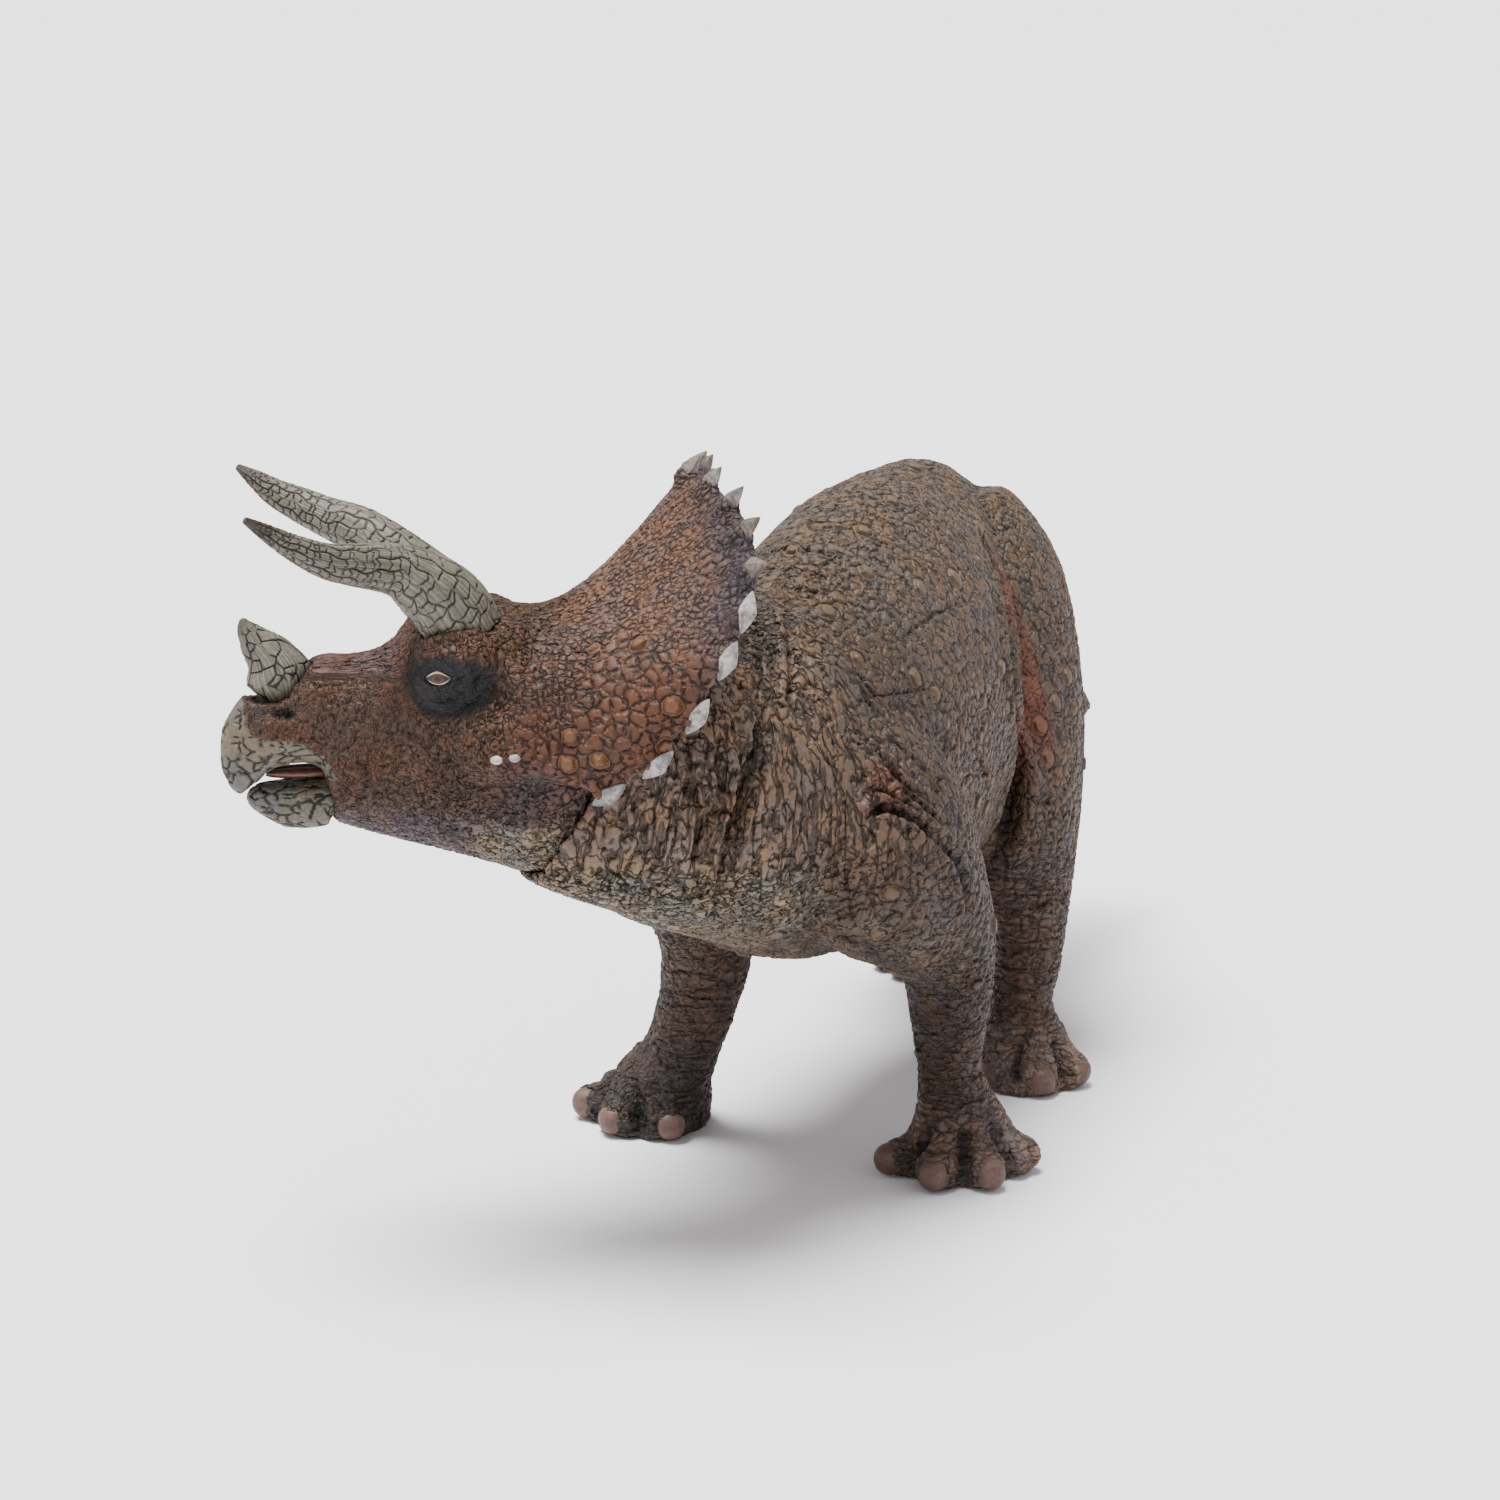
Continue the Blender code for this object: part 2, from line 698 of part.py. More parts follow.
# Legs
body_gap = body_blank("body_gap", clearance)
leg_shapes = {
    "front_leg_left": (front_left_shares, front_left_toe_shares),
    "front_leg_right": (front_right_shares, front_right_toe_shares),
    "hind_leg_left": (hind_left_shares, hind_left_toe_shares),
    "hind_leg_right": (hind_right_shares, hind_right_toe_shares),
}
legs = {}
for name, (shares, toe_shares) in leg_shapes.items():
    limb = leg_blank(name + "_blank", shares, toe_shares)
    limb = combine(limb, "DIFFERENCE", [body_gap])
    legs[name] = combine(limb, "UNION", [spigot_rod(name + "_spigot", name, spigot_radius)])

# Tail
cut = tail_cut_share * body_length
far_corner = (overrun, overrun, overrun)
behind = block("behind_the_cut", (-overrun, cut + clearance, -overrun), far_corner)
tail = combine(body_blank("tail_blank"), "INTERSECT", [behind])
tail_middle = Vector((spine_x(cut), cut, spine_z(cut)))
into = Vector((0, tail_spigot_length, 0))
tail_spigot = rod("tail_spigot", tail_middle + into / 2, tail_middle - into, tail_spigot_radius)
tail = combine(tail, "UNION", [tail_spigot])

# Body: two half shells with bosses, bores and locating pins
cavity = body_blank("cavity", -wall_thickness, *cavity_share)
bosses = [spigot_rod(leg + "_boss", leg, boss_radius, -wall_thickness / 2) for leg in spigot_shares]
cavity = combine(cavity, "DIFFERENCE", bosses)
bore_radius = spigot_radius + clearance
bores = [spigot_rod(leg + "_bore", leg, bore_radius, wall_thickness) for leg in spigot_shares]
rear = block("rear", (-overrun, cut, -overrun), far_corner)
deep_end = tail_middle - into - Vector((0, clearance, 0))
tail_bore = rod("tail_bore", tail_middle + into, deep_end, tail_spigot_radius + clearance)
body = combine(body_blank("body_blank"), "DIFFERENCE", [cavity, *bores, rear, tail_bore])
halves = {}
for name, side in (("torso_shell_left", 1), ("torso_shell_right", -1)):
    half = blank(name + "_blank", body.data.copy())
    other_side = side_cutter(name + "_other_side", -side)
    halves[name] = combine(half, "DIFFERENCE", [other_side, head_gap])
for n, (along, height) in enumerate(pin_shares):
    middle = body_point((0, along, height))
    middle.x = spine_x(middle.y)
    reach = Vector((pin_length / 2, 0, 0))
    deeper = reach + Vector((clearance, 0, 0))
    pin = rod(f"pin_{n}", middle - reach, middle + reach, pin_radius, None, 12)
    socket = rod(f"pin_socket_{n}", middle - deeper, middle + deeper, pin_radius + clearance, None, 12)
    halves["torso_shell_left"] = combine(halves["torso_shell_left"], "UNION", [pin])
    halves["torso_shell_right"] = combine(halves["torso_shell_right"], "DIFFERENCE", [socket])

set_in = {"lower_jaw": jaw, "tongue": tongue, **horn_blanks}
finished = {**halves, "head": head, **set_in, **legs, "tail": tail}

# Every part gets its own object, hung on an empty that stands the figure on its own origin
corners = np.array([v.co for part in finished.values() for v in part.data.vertices])
low, high = corners.min(axis=0), corners.max(axis=0)
figure = bpy.data.objects.new("figure", None)
figure.location = (-(low[0] + high[0]) / 2, -(low[1] + high[1]) / 2, -low[2])
figure_parts.objects.link(figure)
neck_end = bpy.data.objects.new("neck_end", None)
neck_end.matrix_basis = head_place
neck_end.parent = figure
figure_parts.objects.link(neck_end)

for name, part in finished.items():
    made = bpy.data.objects.new(name, part.data.copy())
    made.parent = figure
    if name == "head" or name in set_in:
        made.data.transform(head_place.inverted())
        made.parent = neck_end
    made.data.materials.clear()
    made.data.materials.append(painted_pvc(name + "_paint", *paints[name]))
    for face in made.data.polygons:
        face.material_index = 0
    made.data.shade_smooth()
    made.data.set_sharp_from_angle(angle=math.radians(sharp_degrees))
    figure_parts.objects.link(made)
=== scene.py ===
"""Looks of the toy dinosaur figure: soft PVC with sculpted hide, hand-painted and matt, on a pale floor."""

import math
from functools import partial

import bmesh
import bpy
import numpy as np
from mathutils import Matrix, Vector
from mathutils.bvhtree import BVHTree


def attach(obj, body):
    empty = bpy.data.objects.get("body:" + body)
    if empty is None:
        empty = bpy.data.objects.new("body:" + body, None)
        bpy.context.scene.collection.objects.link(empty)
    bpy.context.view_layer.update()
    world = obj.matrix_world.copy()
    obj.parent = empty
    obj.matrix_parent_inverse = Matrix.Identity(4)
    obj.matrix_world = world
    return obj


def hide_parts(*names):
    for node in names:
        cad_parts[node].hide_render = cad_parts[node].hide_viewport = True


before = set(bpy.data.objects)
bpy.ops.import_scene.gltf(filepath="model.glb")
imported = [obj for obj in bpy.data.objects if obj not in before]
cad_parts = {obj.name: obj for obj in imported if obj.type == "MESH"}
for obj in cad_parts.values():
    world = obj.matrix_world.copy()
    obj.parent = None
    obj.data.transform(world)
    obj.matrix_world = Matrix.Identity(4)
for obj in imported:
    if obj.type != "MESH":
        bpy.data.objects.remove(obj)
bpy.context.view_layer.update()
MM = 0.001

# The head's own frame: its origin in the figure's frame, and its forward, left and up directions
HEAD_ORIGIN = np.array((-13.11, -79.89, 76.705))
HEAD_YAW = math.radians(215)
HEAD_AXES = np.array(
    (
        (math.cos(HEAD_YAW), math.sin(HEAD_YAW), 0),
        (-math.sin(HEAD_YAW), math.cos(HEAD_YAW), 0),
        (0, 0, 1),
    )
)
HEAD_TURN = Matrix(HEAD_AXES.T.tolist())

# How far the figure was moved to stand over the middle of its frame, in mm
FIGURE_SHIFT = np.array((11.275, 2.107, 0))


def in_head(points):
    """Head-frame millimetres to the figure's frame in metres."""
    return (np.asarray(points, float) @ HEAD_AXES + HEAD_ORIGIN) * MM


def to_head(co):
    """Metres in the figure's frame to head-frame millimetres: forward, left, up."""
    return (co / MM - HEAD_ORIGIN) @ HEAD_AXES.T


# Camera and light


def view_from(azimuth, elevation, place):
    """Where a camera stands and how it is turned, from two angles and its place."""
    back = Vector(
        (
            math.sin(azimuth) * math.cos(elevation),
            -math.cos(azimuth) * math.cos(elevation),
            math.sin(elevation),
        )
    )
    right = Vector((math.cos(azimuth), math.sin(azimuth), 0))
    return Matrix.LocRotScale(place, Matrix((right, back.cross(right), back)).transposed(), None)


# The photograph's camera
PHOTO_SIZE = 1500
LENS, SENSOR = 79.488, 36
FOCAL_PIXELS = LENS / SENSOR * PHOTO_SIZE
CAMERA_PLACE = Vector((0.18928302, -0.43325364, 0.17096095)) + Vector(FIGURE_SHIFT) * MM
VIEW = view_from(math.radians(26), math.radians(14), CAMERA_PLACE)


def camera():
    data = bpy.data.cameras.new("camera")
    data.sensor_width = SENSOR
    data.lens = LENS
    thing = bpy.data.objects.new("camera", data)
    bpy.context.scene.collection.objects.link(thing)
    thing.matrix_world = VIEW
    bpy.context.scene.camera = thing


def key_light(place, strength):
    """One wide soft source overhead, far enough away to light the whole floor evenly."""
    data = bpy.data.lights.new("key", "SUN")
    data.energy = strength
    data.angle = math.radians(30)
    thing = bpy.data.objects.new("key", data)
    thing.rotation_euler = (-Vector(place)).to_track_quat("-Z", "Y").to_euler()
    bpy.context.scene.collection.objects.link(thing)


# Colours and nodes

MATH, VECTOR, RANGE, MIX = "ShaderNodeMath", "ShaderNodeVectorMath", "ShaderNodeMapRange", "ShaderNodeMix"
NOISE, CELLS, STORED = "ShaderNodeTexNoise", "ShaderNodeTexVoronoi", "ShaderNodeAttribute"
SOFT = {"interpolation_type": "SMOOTHSTEP"}
EDGES = {"out": "Distance", "feature": "DISTANCE_TO_EDGE"}
COLOUR = {"out": 2, "data_type": "RGBA"}


def linear(hex_colour):
    """An sRGB hex colour as linear light."""
    channels = [int(hex_colour[i : i + 2], 16) / 255 for i in (0, 2, 4)]
    return np.array([c / 12.92 if c <= 0.04045 else ((c + 0.055) / 1.055) ** 2.4 for c in channels])


def add(tree, kind, inputs=(), out=0, **settings):
    """A node with its settings, and each input linked or given its value. Returns one of its outputs."""
    made = tree.nodes.new(kind)
    for key, value in settings.items():
        setattr(made, key, value)
    for key, value in inputs.items() if isinstance(inputs, dict) else enumerate(inputs):
        if isinstance(value, bpy.types.NodeSocket):
            tree.links.new(value, made.inputs[key])
        else:
            made.inputs[key].default_value = value
    return made.outputs[out]


def per_mm(size):
    """A texture's scale for a pattern whose size is in millimetres."""
    return 1 / (size * MM)


def read(tree, name, vector=False):
    """A value stored on the mesh, in a shader or in geometry nodes."""
    if tree.bl_idname == "GeometryNodeTree":
        kind = "FLOAT_VECTOR" if vector else "FLOAT"
        return add(tree, "GeometryNodeInputNamedAttribute", {"Name": name}, data_type=kind)
    return add(tree, STORED, out="Vector" if vector else "Fac", attribute_name=name)


def warped(tree, place, size, by):
    """The place pushed about by soft noise, both in millimetres."""
    wander = {"Vector": place, "Scale": per_mm(size), "Detail": 2, "Roughness": 0.55}
    centred = add(tree, VECTOR, (add(tree, NOISE, wander, "Color"), (0.5,) * 3), operation="SUBTRACT")
    pushed = add(tree, VECTOR, (centred, (by * MM * 2,) * 3), operation="MULTIPLY")
    return add(tree, VECTOR, (place, pushed), operation="ADD")


def winding(tree, place, size, detail, roughness):
    """How far a place is from winding lines, 0 on them, with a size in millimetres."""
    pattern = {"Vector": place, "Scale": per_mm(size), "Detail": detail, "Roughness": roughness}
    apart = add(tree, MATH, (add(tree, NOISE, pattern), 0.5), operation="SUBTRACT")
    return add(tree, MATH, (apart,), operation="ABSOLUTE")


def masked(tree, value, start, full, mask):
    """A mask where a value is past its start, and whole where it is past full."""
    soft = add(tree, RANGE, (value, start, full), **SOFT)
    return add(tree, MATH, (soft, mask), operation="MULTIPLY")


# Skins


def new_object(name, mesh):
    thing = bpy.data.objects.new(name, mesh)
    bpy.context.scene.collection.objects.link(thing)
    return thing


def applied(thing):
    graph = bpy.context.evaluated_depsgraph_get()
    mesh = bpy.data.meshes.new_from_object(thing.evaluated_get(graph))
    thing.modifiers.clear()
    thing.data = mesh


def remeshed(thing, size, rounds):
    made = thing.modifiers.new("one_skin", "REMESH")
    made.mode = "VOXEL"
    made.voxel_size = size
    relax = thing.modifiers.new("relax", "SMOOTH")
    relax.iterations = rounds
    relax.factor = 0.5
    applied(thing)


def skin_of(name, nodes, coarse, fine, rounds, fillers=()):
    """One fine skin round copies of CAD nodes and any rounded fillers."""
    shape = bmesh.new()
    for node in nodes:
        shape.from_mesh(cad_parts[node].data)
    bmesh.ops.remove_doubles(shape, verts=shape.verts, dist=MM / 1000)
    for centre, radii, turn in fillers:
        size = Matrix.Diagonal((*[r * MM for r in radii], 1))
        place = Matrix.Translation(Vector(centre) * MM) @ turn.to_4x4() @ size
        bmesh.ops.create_uvsphere(shape, u_segments=24, v_segments=16, radius=1, matrix=place)
    mesh = bpy.data.meshes.new(name)
    shape.to_mesh(mesh)
    shape.free()
    thing = new_object(name, mesh)
    remeshed(thing, coarse * MM, rounds)
    remeshed(thing, fine * MM, 3)
    return thing


def coordinates(mesh):
    co = np.empty(len(mesh.vertices) * 3, np.float32)
    mesh.vertices.foreach_get("co", co)
    return co.reshape(-1, 3).astype(float)


def normals(mesh):
    out = np.empty(len(mesh.vertices) * 3, np.float32)
    mesh.vertex_normals.foreach_get("vector", out)
    return out.reshape(-1, 3).astype(float)


def store(mesh, name, values):
    values = np.asarray(values, np.float32)
    kind = "FLOAT" if values.ndim == 1 else "FLOAT_VECTOR"
    made = mesh.attributes.new(name, kind, "POINT")
    made.data.foreach_set("value" if kind == "FLOAT" else "vector", values.ravel())


def move(mesh, co):
    mesh.vertices.foreach_set("co", np.asarray(co, np.float32).ravel())
    mesh.update()


# The share of its brightness in the photograph that a paint has itself, under this light
PAINT_SHARE = 0.42


def paint(hex_colour):
    """A paint's colour, taken from how it looks in the photograph's light."""
    return linear(hex_colour) * PAINT_SHARE


def ramp(values, low, high):
    t = np.clip((values - low) / (high - low), 0, 1)
    return t * t * (3 - 2 * t)


def split_by_node(thing, nodes):
    """Cuts a skin into one closed piece for each CAD node, where it lies nearest to that node."""
    corners, faces, owners = [], [], []
    for n, node in enumerate(nodes):
        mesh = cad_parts[node].data
        first = len(corners)
        corners += [v.co.copy() for v in mesh.vertices]
        for face in mesh.polygons:
            faces.append([first + v for v in face.vertices])
            owners.append(n)
    tree = BVHTree.FromPolygons(corners, faces)
    owner = np.array([owners[tree.find_nearest(face.center)[2]] for face in thing.data.polygons])
    made = {}
    for n, node in enumerate(nodes):
        shape = bmesh.new()
        shape.from_mesh(thing.data)
        shape.faces.ensure_lookup_table()
        drop = [shape.faces[i] for i in np.flatnonzero(owner != n)]
        bmesh.ops.delete(shape, geom=drop, context="FACES")
        edges = [edge for edge in shape.edges if edge.is_boundary]
        bmesh.ops.holes_fill(shape, edges=edges)
        mesh = bpy.data.meshes.new(node + "_skin")
        shape.to_mesh(mesh)
        shape.free()
        made[node] = new_object(node + "_skin", mesh)
    bpy.data.objects.remove(thing)
    return made


HIDE = ["torso_shell_left", "torso_shell_right", "front_leg_left", "front_leg_right"]
HIDE += ["hind_leg_left", "hind_leg_right", "tail"]


# Sizes of the relief in millimetres
SMALL_SCALE, LARGE_SCALE, WINDING_SCALE = 1.0, 1.75, 1.35
WRINKLE, FURROW, WART_NET, GRAIN = 2.3, 2.0, 4.4, 0.45
BEAK_PLATE = 1.75
FURROW_DEPTH, WART_HEIGHT, CRACK_DEPTH, GRAIN_HEIGHT = 0.4, 0.7, 0.25, 0.05

# Blue-grey and ochre casts that drift over the hide
COOL_CAST, WARM_CAST = (0.87, 0.96, 1.1, 1), (1.14, 1.01, 0.84, 1)

# The skin's points move by this share of the relief, measured from its middle level
RELIEF_MOVED_SHARE = 0.75
RELIEF_MIDDLE = 0.2


def relief(tree, keratin):
    """Relief of the hide, and of the beak, in millimetres, with the values that the paint follows."""
    node = partial(add, tree)
    rest = read(tree, "rest", True)
    place = warped(tree, read(tree, "weave", True), 1.3, 0.34)

    # Scales of two sizes and winding ones, each with a groove round it
    wide = node(NOISE, {"Vector": rest, "Scale": per_mm(8), "Detail": 2, "Roughness": 0.55})
    large = node(CELLS, {"Vector": place, "Scale": per_mm(LARGE_SCALE)}, **EDGES)
    small = node(CELLS, {"Vector": place, "Scale": per_mm(SMALL_SCALE)}, **EDGES)
    small = node(MATH, (small, 0.75), operation="MULTIPLY")
    choice = node(MATH, (wide, read(tree, "coarse")), operation="ADD")
    choice = node(RANGE, (choice, 0.45, 0.55), **SOFT)
    edge = node(MIX, {0: choice, 2: small, 3: large})
    worm = node(MATH, (winding(tree, place, WINDING_SCALE, 1, 0.5), 2.6), operation="MULTIPLY")
    edge = node(MIX, {0: read(tree, "worms"), 2: edge, 3: worm})
    width = node(NOISE, {"Vector": rest, "Scale": per_mm(1.9), "Detail": 1, "Roughness": 0.55})
    width = node(RANGE, (width, 0.38, 0.62, 0.04, 0.17), **SOFT)
    narrow = node(MATH, (width, 0.35), operation="MULTIPLY")
    groove = node(RANGE, (edge, width, narrow), **SOFT)
    dome = node(RANGE, (edge, 0, 0.2), **SOFT)

    # Wrinkles across the scales, furrows along the pull of the hide, and the traced creases
    wrinkle = winding(tree, place, WRINKLE, 1.5, 0.5)
    wrinkle = masked(tree, wrinkle, 0.035, 0.01, read(tree, "wrinkles"))
    furrow = winding(tree, warped(tree, read(tree, "pull", True), 2.5, 0.3), FURROW, 1, 0.4)
    furrow = masked(tree, furrow, 0.05, 0.012, read(tree, "furrows"))
    # Painted shade and dark wash along the traced creases
    crease_wash_and_shade = node(RANGE, (read(tree, "crease_wash_and_shade"), 0.6, 0.3, 0, 0.7), **SOFT)

    # Warts on some cells of a wide net, each with a dark ring
    reach = node(CELLS, {"Vector": place, "Scale": per_mm(WART_NET)}, "Distance")
    shading = tree.bl_idname == "ShaderNodeTree"
    split = "ShaderNodeSeparateColor" if shading else "ShaderNodeSeparateXYZ"
    chance = node(split, (reach.node.outputs["Color"],))
    there = node(MATH, (chance, read(tree, "warts")), operation="LESS_THAN")
    wart = masked(tree, reach, 0.31, 0.17, there)
    inside = masked(tree, reach, 0.36, 0.31, there)
    ring = masked(tree, reach, 0.43, 0.36, there)
    ring = node(MATH, (ring, inside), operation="SUBTRACT", use_clamp=True)

    # Height
    amount = read(tree, "amount")
    height = node(MATH, (dome, amount), operation="MULTIPLY")
    cut = node(MATH, (wrinkle, amount), operation="MULTIPLY")
    height = node(MATH, (height, cut), operation="SUBTRACT")
    cut = node(MATH, (furrow, FURROW_DEPTH), operation="MULTIPLY")
    height = node(MATH, (height, cut), operation="SUBTRACT")
    wart = node(MATH, (wart, WART_HEIGHT), operation="MULTIPLY")
    height = node(MIX, {0: inside, 2: height, 3: wart})

    # Darkness of the wash, and the painted shade along the creases
    dark = node(MATH, (groove, wrinkle), operation="MAXIMUM")
    dark = node(MATH, (dark, furrow), operation="MAXIMUM")
    dark = node(MIX, {0: inside, 2: dark, 3: 0.0})
    dark = node(MATH, (dark, ring), operation="MAXIMUM")
    dark = node(MATH, (dark, read(tree, "grooved")), operation="MULTIPLY")
    dark = node(MATH, (dark, crease_wash_and_shade), operation="MAXIMUM")

    # Plates of the beak, with broken cracks between them
    if keratin:
        plates = warped(tree, read(tree, "plates", True), 1.6, 0.4)
        plates = node(CELLS, {"Vector": plates, "Scale": per_mm(BEAK_PLATE)}, **EDGES)
        stroke = node(NOISE, {"Vector": rest, "Scale": per_mm(1.5), "Detail": 1, "Roughness": 0.55})
        stroke = node(RANGE, (stroke, 0.4, 0.55), **SOFT)
        crack = masked(tree, plates, 0.1, 0.04, stroke)
        bevel = masked(tree, plates, 0.16, 0, stroke)
        bevel = node(MATH, (bevel, -CRACK_DEPTH), operation="MULTIPLY")
        beak = read(tree, "beak")
        height = node(MIX, {0: beak, 2: height, 3: bevel})
        dark = node(MIX, {0: beak, 2: dark, 3: crack})
    grain = node(NOISE, {"Vector": rest, "Scale": per_mm(GRAIN), "Detail": 2, "Roughness": 0.6})
    fine = node(MATH, (grain, GRAIN_HEIGHT), operation="MULTIPLY")
    height = node(MATH, (height, fine), operation="ADD")

    # Where a dry brush catches: the rims of the scales and the tops of some
    rim = masked(tree, edge, 0.22, 0.14, node(RANGE, (edge, 0.07, 0.12), **SOFT))
    rim = node(MATH, (rim, 0.85), operation="MULTIPLY")
    top = masked(tree, edge, 0.12, 0.3, node(RANGE, (wide, 0.35, 0.65, 0.15, 0.6), **SOFT))
    top = node(MATH, (top, rim), operation="MAXIMUM")
    return {"height": height, "dark": dark, "top": top, "wart": inside, "grain": grain}


def displaced(thing, keratin=False):
    """Moves the skin's points out along their normals by the relief."""
    group = bpy.data.node_groups.new("relief", "GeometryNodeTree")
    for way in ("INPUT", "OUTPUT"):
        group.interface.new_socket("Geometry", in_out=way, socket_type="NodeSocketGeometry")
    level = add(group, MATH, (relief(group, keratin)["height"], RELIEF_MIDDLE), operation="SUBTRACT")
    level = add(group, MATH, (level, RELIEF_MOVED_SHARE * MM), operation="MULTIPLY")
    out = add(group, "GeometryNodeInputNormal", out="Normal")
    push = add(group, VECTOR, {0: out, "Scale": level}, operation="SCALE")
    skin = add(group, "NodeGroupInput")
    moved = add(group, "GeometryNodeSetPosition", {"Geometry": skin, "Offset": push})
    group.links.new(moved, group.nodes.new("NodeGroupOutput").inputs[0])
    made = thing.modifiers.new("relief", "NODES")
    made.node_group = group
    applied(thing)


def coat(tree, colour, height, roughness, specular, strength):
    """Gives a material's shader its colour, its relief and its sheen."""
    shader = tree.nodes["Principled BSDF"]
    shader.inputs["Roughness"].default_value = roughness
    shader.inputs["Specular IOR Level"].default_value = specular
    bump = add(tree, "ShaderNodeBump", {"Height": height, "Distance": 1, "Strength": strength})
    tree.links.new(colour, shader.inputs["Base Color"])
    tree.links.new(bump, shader.inputs["Normal"])


def painted_hide(name, keratin=False):
    """Moulded soft PVC under matt acrylic: hardly a sheen, a dark wash in the grooves, dry-brushed tops."""
    made = bpy.data.materials.new(name)
    made.use_nodes = True
    tree = made.node_tree
    node = partial(add, tree)
    values = relief(tree, keratin)
    place = read(tree, "rest", True)
    tone, dry, wash, spot = [
        node(STORED, out="Color", attribute_name=layer) for layer in ("tone", "dry", "wash", "spot")
    ]
    patch = node(NOISE, {"Vector": place, "Scale": per_mm(4), "Detail": 3, "Roughness": 0.6})
    patch = node(RANGE, (patch, 0.35, 0.65), **SOFT)
    brushed = node(MIX, {0: patch, 2: 0.35, 3: 1.0})
    brushed = node(MATH, (values["top"], brushed), operation="MULTIPLY")
    colour = node(MIX, {0: brushed, 6: tone, 7: dry}, **COLOUR)
    level = node(RANGE, (values["grain"], 0.35, 0.65, 0.84, 1.14), **SOFT)
    colour = node(VECTOR, {0: colour, "Scale": level}, operation="SCALE")
    hue = node(NOISE, {"Vector": place, "Scale": per_mm(5.5), "Detail": 2, "Roughness": 0.6})
    hue = node(RANGE, (hue, 0.36, 0.64), **SOFT)
    cast = node(MIX, {0: hue, 6: COOL_CAST, 7: WARM_CAST}, **COLOUR)
    colour = node(VECTOR, (colour, cast), operation="MULTIPLY")
    warts = node(MATH, (values["wart"], 0.5), operation="MULTIPLY")
    colour = node(MIX, {0: warts, 6: colour, 7: spot}, **COLOUR)
    washed = node(MIX, {0: patch, 2: 0.97, 3: 0.8})
    washed = node(MATH, (values["dark"], washed), operation="MULTIPLY")
    colour = node(MIX, {0: washed, 6: colour, 7: wash}, **COLOUR)
    raised = node(MATH, (values["height"], MM), operation="MULTIPLY")
    coat(tree, colour, raised, 0.58, 0.3, 1)
    return made


def painted(name, roughness, specular=0.3, strength=0.5, mottle=0.14):
    """Moulded soft PVC under smooth acrylic: a soft sheen, a fine grain and a little mottling."""
    made = bpy.data.materials.new(name)
    made.use_nodes = True
    tree = made.node_tree
    node = partial(add, tree)
    place = read(tree, "rest", True)
    grain = node(NOISE, {"Vector": place, "Scale": per_mm(0.5), "Detail": 3, "Roughness": 0.6})
    patch = node(NOISE, {"Vector": place, "Scale": per_mm(2), "Detail": 3, "Roughness": 0.6})
    patch = node(RANGE, (patch, 0.35, 0.65, 1 - mottle, 1 + mottle), **SOFT)
    level = node(RANGE, (grain, 0.3, 0.7, 0.9, 1.1), **SOFT)
    level = node(MATH, (level, patch), operation="MULTIPLY")
    tone = node(STORED, out="Color", attribute_name="tone")
    colour = node(VECTOR, {0: tone, "Scale": level}, operation="SCALE")
    raised = node(MATH, (grain, 0.12 * MM), operation="MULTIPLY")
    coat(tree, colour, raised, roughness, specular, strength)
    return made


def finish_piece(thing, nodes, material):
    thing.data.materials.clear()
    thing.data.materials.append(material)
    thing.data.shade_smooth()
    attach(thing, "root")
    if nodes:
        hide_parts(*nodes)


def segment_distance(points, line):
    """Distance of each point from a line of points, and how far along it the nearest place is."""
    best = np.full(len(points), 1e9)
    where = np.zeros(len(points))
    line = np.asarray(line, float)
    for n, (a, b) in enumerate(zip(line, line[1:])):
        way = b - a
        t = np.clip((points - a) @ way / (way @ way), 0, 1)
        gap = np.linalg.norm(points - a - t[:, None] * way, axis=1)
        near = gap < best
        best[near] = gap[near]
        where[near] = ((n + t) / (len(line) - 1))[near]
    return best, where


def pressed(points, out, lines):
    """Creases pressed into a skin, as rows of points with a width and a depth, in mm.

    Returns the new points, how dark each one is painted as shade and wash in a crease, and its distance
    from a crease in widths.
    """
    dark = np.zeros(len(points))
    crease_wash_and_shade = np.full(len(points), 3.0)
    push = np.zeros(len(points))
    for line, width, depth in lines:
        line = np.asarray(line, float)
        low, high = line.min(axis=0) - width * 4, line.max(axis=0) + width * 4
        near = np.flatnonzero(((points > low) & (points < high)).all(axis=1))
        if not len(near):
            continue
        gap, where = segment_distance(points[near] + 0.08 * np.sin(points[near][:, ::-1] * 1.9), line)
        fade = np.clip(np.minimum(where, 1 - where) * 5, 0.2, 1)
        lip = np.exp(-(((gap - width * 2) / width) ** 2))
        push[near] += fade * depth * (0.3 * lip - np.exp(-((gap / width) ** 2)))
        dark[near] = np.maximum(dark[near], min(depth, 1) * fade * np.exp(-((gap / width / 0.75) ** 2)))
        if depth > 0:
            crease_wash_and_shade[near] = np.minimum(crease_wash_and_shade[near], gap / width + 0.5 * (1 - fade))
    return points + out * push[:, None], dark, crease_wash_and_shade


def mixed(base, colour, mask):
    return base + (np.asarray(colour) - base) * mask[:, None]


def near(points, place, radius):
    """1 at a place, falling to 0 at a radius from it."""
    return ramp(-np.linalg.norm(points - np.asarray(place, float), axis=1), -radius, 0)


def snapped(tree, line):
    """A row of points in mm, each moved onto the nearest place of a skin."""
    return [tuple(tree.find_nearest(Vector(point) * MM)[0] / MM) for point in line]


def traced(tree, row):
    """A row of the photograph's pixels as points in mm on a skin, seen from the camera."""
    made = []
    for across, down in row:
        ray = Vector(((across - PHOTO_SIZE / 2) / FOCAL_PIXELS, (PHOTO_SIZE / 2 - down) / FOCAL_PIXELS, -1))
        spot = tree.ray_cast(VIEW.translation, VIEW.to_3x3() @ ray)[0]
        if spot is not None:
            made.append(tuple(spot / MM))
    return made


# Feet: where each ankle stands, and the middle of each nail on the ground

